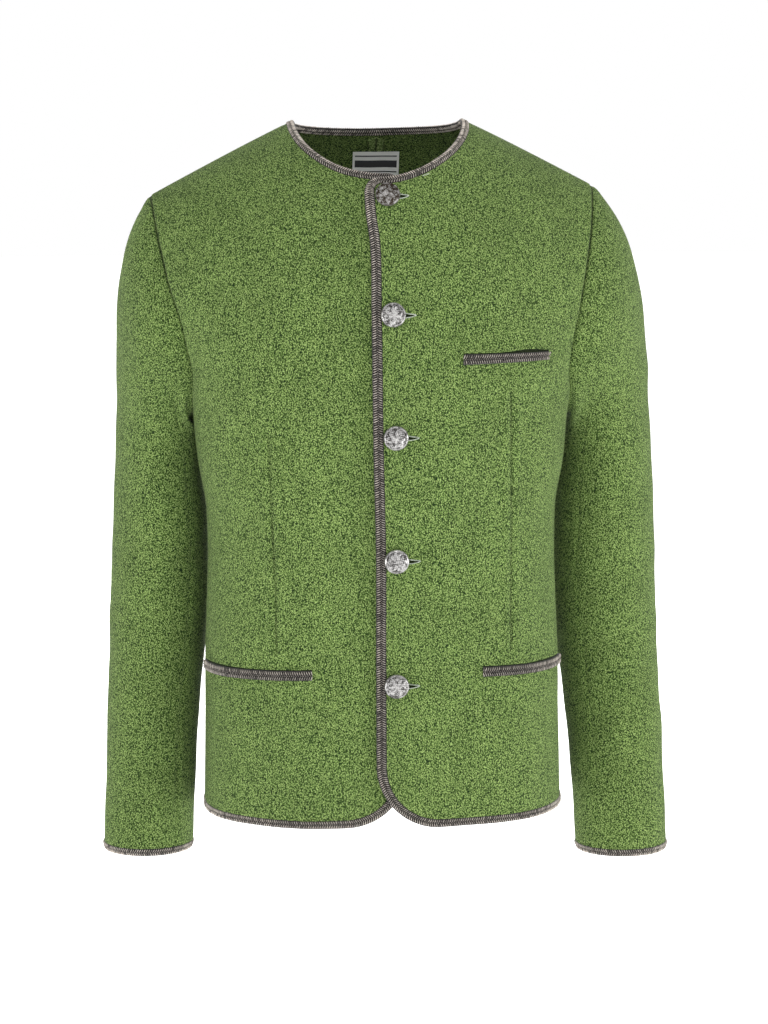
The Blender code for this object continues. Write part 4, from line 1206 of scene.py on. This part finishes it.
# %% Button finish
def make_antique():
    """Colour and roughness of worn metal: bright and smooth where the relief is high."""
    tree, start, end = new_group(
        "antique_metal",
        (("Vector", "Vector", None), ("Relief", "Float", 0.5), ("Dark", "Color", (0.07, 0.06, 0.05, 1))),
        (("Color", "Color", None), ("Roughness", "Float", None), ("Height", "Float", None)),
    )
    vector = start.outputs["Vector"]
    fine = noise(tree, (-900, 0), vector, 1800, 3.0, 0.6)
    stain = noise(tree, (-900, -300), vector, 260, 3.0, 0.6)
    high = math_node(tree, "ADD", (-600, 0), start.outputs["Relief"], mapped(
        tree, (-750, -300), stain, 0.3, 0.7, -0.30, 0.30))
    worn = mapped(tree, (-400, 0), high, 0.08, 0.62)
    color = mix_color(tree, (-150, 0), worn, start.outputs["Dark"], (0.50, 0.49, 0.48, 1))
    tree.links.new(color, end.inputs["Color"])
    tree.links.new(mapped(tree, (-150, -250), worn, 0.0, 1.0, 0.62, 0.30), end.inputs["Roughness"])
    tree.links.new(fine, end.inputs["Height"])
    return tree


ANTIQUE = make_antique()


def metal_material(name, dark):
    """Antique metal with its own colour in the hollows."""
    material, tree, shader = base_material(name, Metallic=1.0)
    node = use_group(tree, ANTIQUE, Vector=object_place(tree), Relief=read_mark(tree, "relief"),
                     Dark=(*dark, 1))
    tree.links.new(node.outputs["Color"], shader.inputs["Base Color"])
    tree.links.new(node.outputs["Roughness"], shader.inputs["Roughness"])
    bump(tree, shader, node.outputs["Height"], 0.25, 0.0002)
    return material


SILVER = metal_material("antique_silver", (0.042, 0.039, 0.038))
BRONZED = metal_material("bronzed_silver", (0.040, 0.030, 0.021))

# %% [markdown]
# Each button is a cast dome on a shank. Displacing a plain disc would need a dense mesh everywhere. A polar
# grid has its points where the relief is, and its last rings close over the rim and down the shank.

# %% Buttons
BUTTONS = {
    "x": (0.0022, 0.0046, 0.0061, 0.0065, 0.0059),
    "z": (-0.0705, -0.1833, -0.3013, -0.4226, -0.5464),
}
BUTTON_RADIUS = 0.0120
BUTTON_DOME = 0.0038
SHANK_RADIUS = 0.0032
SHANK_HEIGHT = 0.0022
BUTTON_GRID = (60, 160)


def relief_height(r, angle):
    """Relief over the dome from 0 to 1: a flower of six pointed petals, leaves between them, worn ground."""
    sixth = np.abs(((angle / (2 * math.pi) * 6 + 0.5) % 1) - 0.5) * 2
    petal = np.clip(1.0 - sixth * (0.35 + 2.4 * r) - np.abs(r - 0.30) * 1.7, 0, 1) ** 0.6
    vein = 1 - 0.45 * np.exp(-((sixth / 0.07) ** 2))
    between = np.abs(((angle / (2 * math.pi) * 6) % 1) - 0.5) * 2
    leaf = np.clip(0.85 - between * 1.5 - np.abs(r - 0.62) * 4.5, 0, 1) ** 0.7
    heart = np.exp(-((r / 0.10) ** 2)) * (0.75 + 0.25 * np.cos(angle * 7) * np.cos(r * 90))
    x, y = r * np.cos(angle), r * np.sin(angle)
    ground = 0.5 + 0.25 * np.sin(x * 31 + 2 * np.sin(y * 23)) + 0.25 * np.sin(y * 37 + 2 * np.sin(x * 19))
    twig = np.exp(-((np.sin(angle * 3 + 5 * r) / 0.22) ** 2))
    twig = twig * smooth((r - 0.3) / 0.2) * smooth((0.85 - r) / 0.1)
    rope = (0.55 + 0.45 * np.cos(angle * 40 + r * 60)) * np.exp(-(((r - 0.91) / 0.04) ** 2))
    fine = 0.5 + 0.5 * np.sin(x * 43 + 3 * np.sin(y * 27)) * np.sin(y * 39 + 3 * np.sin(x * 31))
    cover = petal * vein * 0.48 + heart * 0.4 + leaf * 0.55 + 0.58 * ground + 0.5 * twig + rope * 0.8
    return np.clip(cover * (0.40 + 0.80 * fine), 0, 1.1) / 1.1


def disc_frame(path):
    """A button's place on the cloth: its base, the way out, across and up."""
    base = layer("front", 1, path, np.array([0.0]))[0]
    normal = slopes("front", 1, path)[2][0]
    across = unit(np.cross([0, 0, 1.0], normal)) * -1
    return base, normal, across, np.cross(normal, across)


def make_button(number, x, z):
    """A dome (part of a cosine) with its relief, then rim, underside and shank."""
    path = find("front", np.array([x]), np.array([z]))
    base, normal, across, up = disc_frame(path)
    rings, spokes = BUTTON_GRID
    r = np.linspace(0.0, 1.0, rings)[1:, None]
    angle = np.linspace(0, 2 * math.pi, spokes, endpoint=False)[None, :]
    turned = angle + number * 0.21
    relief = relief_height(r * np.ones_like(angle), turned)
    low = SHANK_HEIGHT + 0.0016
    rim = 0.00045 * np.exp(-(((r - 0.965) / 0.022) ** 2))
    height = low + BUTTON_DOME * np.cos(r * 1.30) ** 1.0 - BUTTON_DOME * math.cos(1.30) * r ** 8 + rim
    height = height + 0.00050 * relief * smooth((0.97 - r) / 0.05)
    radius = BUTTON_RADIUS * r * np.ones_like(angle)
    edge = [(1.0, low - 0.0002), (1.0, low - 0.0009), (0.97, low - 0.0013), (0.80, low - 0.0016),
            (SHANK_RADIUS / BUTTON_RADIUS, low - 0.0016), (SHANK_RADIUS / BUTTON_RADIUS, SEAM)]
    radius = np.concatenate([radius] + [np.full((1, spokes), BUTTON_RADIUS * e[0]) for e in edge])
    height = np.concatenate([height * np.ones_like(angle)] + [np.full((1, spokes), e[1]) for e in edge])
    tone = np.concatenate([relief * 0.9 + 0.05, np.full((len(edge), spokes), 0.62)])
    tone[rings - 3 : rings - 1] = 0.75
    points = base + normal * height[..., None]
    points = points + (across * np.cos(angle)[..., None] + up * np.sin(angle)[..., None]) * radius[..., None]
    count = radius.shape[0]
    top = base + normal * (low + BUTTON_DOME + 0.0004)
    foot = base + normal * SEAM
    points = np.concatenate([[top], points.reshape(-1, 3), [foot]])
    tone = np.concatenate([[0.9], tone.ravel(), [0.2]])
    index = 1 + np.arange(count * spokes).reshape(count, spokes)
    after = np.roll(index, -1, 1)
    quads = np.stack([index[:-1], after[:-1], after[1:], index[1:]], axis=-1).reshape(-1, 4).tolist()
    caps = [[0, int(b), int(a)] for a, b in zip(index[0], after[0])]
    caps += [[len(points) - 1, int(a), int(b)] for a, b in zip(index[-1], after[-1])]
    metal = BRONZED if number == 1 else SILVER
    tone = tone * (0.52 if number == 1 else 0.95)
    solid(f"button_{number}_relief", points, quads + caps, metal, {"relief": tone}, f"button_{number}")


for button, (button_x, button_z) in enumerate(zip(*BUTTONS.values()), start=1):
    make_button(button, button_x, button_z)

# %% [markdown]
# A buttonhole is a slit worked round with close stitches of pale thread. The part hidden by the button is
# left out of sight, and the rest tapers to a point on the far side. Every stitch is one of the small domes.

# %% Buttonholes
HOLE_FROM = 0.0080
HOLE_LENGTH = (0.0115, 0.0130, 0.0135, 0.0140, 0.0135)


def make_buttonhole(number, x, z):
    """A slit that narrows to a point, stitches along both lips and one across its end."""
    length = HOLE_LENGTH[number - 1]
    steps = 26
    t = np.linspace(0, 1, steps)
    x_at = x + HOLE_FROM + length * t
    sag = -0.0006 * np.sin(t * math.pi) - 0.0004 * t
    gap = 0.0021 * (1 - t) ** 0.85 + 0.00015
    rows = []
    for share in (-1, -0.5, 0, 0.5, 1):
        rows.append(layer("front", 1, find("front", x_at, z + sag + gap * share), np.full(steps, 0.00025)))
    slit = np.stack(rows, axis=0)
    normal = slopes("front", 1, find("front", x_at, z + sag))[2]
    # Painted shadow: the slit is a thin dark sheet laid on the cloth, not an opening.
    hole_shadow = wall(f"buttonhole_{number}_slit_shadow", slit, slit - normal * 0.0004, PAINTED_SLIT_SHADOW)
    centres, longs, broads, highs = [], [], [], []
    for sign in (1, -1):
        row = find("front", x_at, z + sag + sign * (gap + 0.00045))
        here = layer("front", 1, row, np.full(steps, 0.0001))
        along = unit(np.gradient(here, axis=0))
        out = unit(np.cross(normal, along)) * sign
        slant = unit(out + along * 0.35)
        centres.append(here)
        longs.append(slant * 0.0013 * (1 + random.normal(0, 0.12, (steps, 1))))
        broads.append(np.cross(normal, slant) * 0.00066)
        highs.append(normal * 0.00055)
    tip = layer("front", 1, find("front", x_at[-1:] + 0.0006, z + sag[-1:]), np.array([0.0001]))
    along = unit(slit[2, -1] - slit[2, -2])
    centres.append(tip)
    longs.append(along[None] * 0.0020)
    broads.append(np.cross(normal[-1:], along[None]) * 0.0014)
    highs.append(normal[-1:] * 0.0005)
    places = [np.concatenate(v) for v in (centres, longs, broads, highs)]
    tone = random.uniform(0.2, 1.0, len(places[0]))
    thread = flakes(f"buttonhole_{number}_thread", places, STITCH, STITCH_FACES, THREAD, tone)


for button, (button_x, button_z) in enumerate(zip(*BUTTONS.values()), start=1):
    make_buttonhole(button, button_x, button_z)

# %% [markdown]
# One thread end sticks out under the neck braid. Small accidents like this tell the eye that a thing was
# sewn. Seven of the small domes in a row are enough.

# %% Loose stitch
def make_loose_stitch():
    """The end of a pale thread that sticks out under the neck braid."""
    z = np.array([-.0524, -.0520, -.0521, -.0516, -.0512, -.0513, -.0508])
    path = find("front", np.linspace(0.0376, 0.0432, 7), z)
    place = layer("front", 1, path, np.full(7, 0.0006))
    along = np.gradient(place, axis=0) * 1.5
    normal = slopes("front", 1, path)[2]
    places = [place, along, unit(np.cross(normal, along)) * 0.0006, normal * 0.0004]
    made = flakes("loose_stitch", places, STITCH, STITCH_FACES, THREAD, np.full(7, 1.0))


make_loose_stitch()

# %% [markdown]
# Inside, the centre-back seam is pressed open and its two turnings lie flat on either side. A woven label
# with a few plain dark bands lies over them at the neck.

# %% Turnings
ALLOWANCE = 0.0095
ALLOWANCE_THICK = 0.0020
ALLOWANCE_CLEAR = 0.0007


def make_allowance(name, side):
    """One turning: a strip beside the centre seam, lying just off the cloth and slightly wavy."""
    grid = back_panel(side, 150, 24)[6:120, :2]
    faces = []
    for depth in (WOOL + ALLOWANCE_CLEAR, WOOL + ALLOWANCE_CLEAR + ALLOWANCE_THICK):
        edge, beside = np.moveaxis(layer("back", side, grid, np.full(grid.shape[:2], -depth)), 1, 0)
        way = unit(beside - edge)
        share = np.linspace(0, 1, 7)[None, :, None]
        wave = 0.0006 * np.sin(np.arange(len(edge)) * 0.35)[:, None, None] * share ** 2
        normal = slopes("back", side, grid[:, 0])[2][:, None]
        faces.append(edge[:, None] + way[:, None] * ALLOWANCE * share - normal * wave * (depth > 0.005))
    node = f"seam_allowance_{name}"
    print(node, "cut", cut(faces[1]))
    # Painted shade along both long edges of the turning, through the felt's seam darkening.
    seam = np.minimum(edge_distance(faces[1], "left"), edge_distance(faces[1], "right"))
    return wall(f"{node}_cloth", faces[1], faces[0], WOOL_TURNING, seam, node)


for name, side in (("left", 1), ("right", -1)):
    make_allowance(name, side)

# %% [markdown]
# The label is a short woven tape laid over the turnings. It is a thin slab inside the back. Its bands are an
# attribute of the mesh, so that they follow the cloth, and two waves that cross make the weave.

# %% Label
LABEL_SIZE = (0.0492, 0.0265)
LABEL_Z = -0.0305
LABEL_THICK = 0.0006
LABEL_CLEAR = 0.0020


def label_material():
    """Pale woven tape with dark bands."""
    material, tree, shader = base_material("woven_label", Roughness=0.62, Sheen_Weight=0.4)
    band = read_mark(tree, "band")
    place = object_place(tree)
    weave = add(tree, "ShaderNodeTexWave", (-800, -500), Scale=420.0, Distortion=1.5, bands_direction="Z")
    tree.links.new(place, weave.inputs["Vector"])
    cross = add(tree, "ShaderNodeTexWave", (-800, -800), Scale=420.0, Distortion=1.5, bands_direction="X")
    tree.links.new(place, cross.inputs["Vector"])
    height = math_node(tree, "ADD", (-500, -600), weave.outputs["Fac"], cross.outputs["Fac"])
    dark = mapped(tree, (-600, -100), band, 0.45, 0.55)
    pale = mix_color(tree, (-600, 150), mapped(tree, (-750, 150), height, 0.2, 1.8),
                     (0.84, 0.85, 0.82, 1), (0.95, 0.95, 0.93, 1))
    color = mix_color(tree, (-300, 100), dark, pale, (0.020, 0.021, 0.024, 1))
    tree.links.new(color, shader.inputs["Base Color"])
    bump(tree, shader, height, 0.35, 0.0002)
    return material


def make_label():
    """A thin slab inside the back, with bands of the width stored at its points."""
    width, height = LABEL_SIZE
    under = WOOL + ALLOWANCE_THICK + LABEL_CLEAR
    u = np.linspace(-1, 1, 97)
    v = np.linspace(0, 1, 61)
    x = BACK_SEAM_X + u * width / 2
    across, up = np.meshgrid(x, LABEL_Z - height * v)
    grid = find("back", across, up)
    wave = 0.0003 * np.sin(u * 5)[None, :] * np.sin(v * 3)[:, None]
    outer = layer("back", 1, grid, -under + wave)
    inner = layer("back", 1, grid, -under - LABEL_THICK + wave)
    band = np.zeros(grid.shape[:2])
    for low, high in ((0.14, 0.19), (0.34, 0.62), (0.77, 0.82)):
        band[(v >= low) & (v <= high)] = 1.0
    band[:, np.abs(u) > 0.90] = 0.0
    made = wall("neck_label_woven", outer, inner, label_material(), node="neck_label")
    marks = made.data.attributes.new("band", "FLOAT", "POINT")
    marks.data.foreach_set("value", np.tile(band.ravel(), 2).astype(np.float32))
    return made


label = make_label()

# %% [markdown]
# Felted wool is never bald: short pale hairs stand off it and soften every outline. A hundred thousand of
# them are scattered over the body and the arms, each a single thin triangle that leans at random.

# %% Loose hairs
def nap(name, nodes, count):
    """Hairs at random places of the panels' outer grids, leaning away from the cloth."""
    sizes = np.array([surface_area(panel_grids[n]) for n in nodes])
    centres, longs, broads = [], [], []
    for node, share in zip(nodes, sizes / sizes.sum()):
        grid = panel_grids[node]
        number = int(count * share)
        row = random.uniform(0.5, grid.shape[0] - 1.5, number)
        column = random.uniform(0.5, grid.shape[1] - 1.5, number)
        i, j = row.astype(int), column.astype(int)
        fr, fc = (row - i)[:, None], (column - j)[:, None]
        low = grid[i, j] * (1 - fc) + grid[i, j + 1] * fc
        high = grid[i + 1, j] * (1 - fc) + grid[i + 1, j + 1] * fc
        along, down = grid[i, j + 1] - grid[i, j], grid[i + 1, j] - grid[i, j]
        normal = unit(np.cross(along, down))
        point = low * (1 - fr) + high * fr
        centre = np.array([0.0, 0.0, 0.0]) + grid.reshape(-1, 3).mean(0) * [1, 0, 0]
        outward = np.where(((point - centre * 0.85) * normal * [1, 1, 0]).sum(-1, keepdims=True) < 0, -1, 1)
        normal = normal * outward
        lean = unit(random.normal(0, 1, (number, 3)))
        way = unit(normal * random.uniform(0.35, 1.0, (number, 1)) + lean * 0.8)
        stray = random.random((number, 1)) < 0.002
        longs.append(way * np.where(stray, 0.0042, random.uniform(0.0008, 0.0024, (number, 1))))
        broads.append(unit(np.cross(way, lean + 0.01)) * np.where(stray, 0.00024, 0.00010))
        centres.append(point)
    places = [np.concatenate(v) for v in (centres, longs, broads)]
    shape = np.array([[0.0, -0.5, 0], [0.0, 0.5, 0], [1.0, 0, 0]])
    made = flakes(name, [*places, np.zeros_like(places[0])], shape, [(0, 1, 2)], HAIR,
                  random.uniform(0, 1, len(places[0])))


HAIR = yarn_material("loose_hair", (0.06, 0.11, 0.025), (0.34, 0.41, 0.18), 0.0)
BODY_HAIRS = 60000
ARM_HAIRS = 40000
nap("nap_body", ("front_over", "front_under", "back_left", "back_right"), BODY_HAIRS)
nap("nap_arms", [n for n in panel_grids if n.startswith("sleeve")], ARM_HAIRS)

# %% [markdown]
# Each piece prints above the size it was cut to before it was sewn: width, length and area. Widths, areas
# and the sleeves' lengths are those printed above, except that front_over is given its partner's width. A
# body panel's printed length follows its curved edge rather than the run from shoulder to hem, and what a
# dart takes in is a guess. The turnings are 9.5 mm wide.

# %% [markdown]
# The photo is a plain studio shot on white. A pale, softly glowing floor like a light table stands in for it
# and lifts the lower half of the jacket, as in the photo. Two large soft lights stand at the sides, a third
# lies on the floor in front, a small one looks in at the neck and one more stands behind. The camera
# stands a little to one side at chest height.

# %% Floor
def make_floor():
    """A round sheet that glows a little."""
    angle = np.linspace(0, 2 * math.pi, 96, endpoint=False)
    points = np.stack([14 * np.cos(angle), 14 * np.sin(angle), np.full(96, -1.02)], axis=-1)
    mesh = bpy.data.meshes.new("floor")
    mesh.from_pydata(points.tolist(), [], [list(range(96))])
    material, tree, shader = base_material("floor_acrylic", Roughness=0.6)
    shader.inputs["Base Color"].default_value = (0.90, 0.90, 0.90, 1)
    shader.inputs["Emission Color"].default_value = (1, 1, 1, 1)
    shader.inputs["Emission Strength"].default_value = 0.70
    grain = noise(tree, (-500, 0), object_place(tree), 30, 3.0, 0.6)
    bump(tree, shader, grain, 0.05, 0.001)
    mesh.materials.append(material)
    made = bpy.data.objects.new("floor", mesh)
    bpy.context.collection.objects.link(made)


make_floor()


# %% [markdown]
# Point lights would draw hard shadows, so every lamp is a large area light. The world is white only for the
# camera. For everything else it is dimmer, or it would wash out the folds.

# %% Light
def area_light(name, place, aim, size, power):
    """A soft rectangular lamp turned towards a point."""
    data = bpy.data.lights.new(name, "AREA")
    data.shape = "RECTANGLE"
    data.size, data.size_y = size
    data.energy = power
    made = bpy.data.objects.new(name, data)
    bpy.context.collection.objects.link(made)
    made.location = place
    made.rotation_mode = "QUATERNION"
    made.rotation_quaternion = (Vector(aim) - Vector(place)).to_track_quat("-Z", "Y")
    made.visible_camera = False


def make_world():
    """White where the camera looks, and a dimmer surround that is brighter low down than overhead."""
    world = bpy.data.worlds.new("surround")
    world.use_nodes = True
    tree = world.node_tree
    height = add(tree, "ShaderNodeSeparateXYZ", (-800, 0))
    tree.links.new(add(tree, "ShaderNodeTexCoord", (-1000, 0)).outputs["Generated"], height.inputs[0])
    dim = mapped(tree, (-600, 0), height.outputs["Z"], -0.2, 0.9, 0.32, 1.00)
    seen = add(tree, "ShaderNodeLightPath", (-800, 300)).outputs["Is Camera Ray"]
    strength = math_node(tree, "MAXIMUM", (-300, 0), seen, dim)
    tree.links.new(strength, tree.nodes["Background"].inputs["Strength"])
    tree.nodes["Background"].inputs["Color"].default_value = (1, 1, 1, 1)
    bpy.context.scene.world = world
    bpy.context.scene.view_settings.view_transform = "Standard"


area_light("key", (-3.3, -1.5, -0.70), (0, 0, -0.65), (1.6, 1.2), 46)
area_light("fill", (3.4, -1.4, -0.70), (0, 0, -0.65), (1.6, 1.2), 68)
area_light("low", (0.2, -1.0, -1.0), (0, 0, -0.62), (1.8, 0.5), 4.2)
area_light("neck", (0.0, -0.95, 0.36), (0, 0.11, -0.04), (0.5, 0.2), 1.9)
area_light("rear", (0.4, 3.3, 0.0), (0, 0, -0.45), (1.8, 1.4), 70)
make_world()

# %% [markdown]
# A long lens about three metres away keeps the sides almost parallel, as in the photo. Its turn and tilt were
# found by matching the buttons, the neck and the hem to their places in the picture.

# %% Camera
CAMERA_TURN = math.radians(-4.0)
CAMERA_ROLL = math.radians(-0.4)
CAMERA_AWAY = 3.2
CAMERA_AIM = (0.00424, 0.0, -0.39383)


def make_camera():
    """The photo's place and lens: 3200 pixels of focal length at 1024 pixels of height."""
    data = bpy.data.cameras.new("camera")
    data.sensor_fit = "VERTICAL"
    data.sensor_height = 24.0
    data.sensor_width = 24.0
    data.lens = 24.0 * 3200 / 1024
    made = bpy.data.objects.new("camera", data)
    bpy.context.collection.objects.link(made)
    place = np.array([math.sin(CAMERA_TURN) * CAMERA_AWAY, -math.cos(CAMERA_TURN) * CAMERA_AWAY, 0.07])
    forward = unit(np.array(CAMERA_AIM) - place)
    right = unit(np.cross(forward, [0, 0, 1]))
    up = np.cross(right, forward)
    c, s = math.cos(CAMERA_ROLL), math.sin(CAMERA_ROLL)
    right, up = right * c + up * s, up * c - right * s
    matrix = np.eye(4)
    matrix[:3, 0], matrix[:3, 1], matrix[:3, 2], matrix[:3, 3] = right, up, -forward, place
    made.matrix_world = Matrix(matrix.tolist())
    bpy.context.scene.camera = made


make_camera()
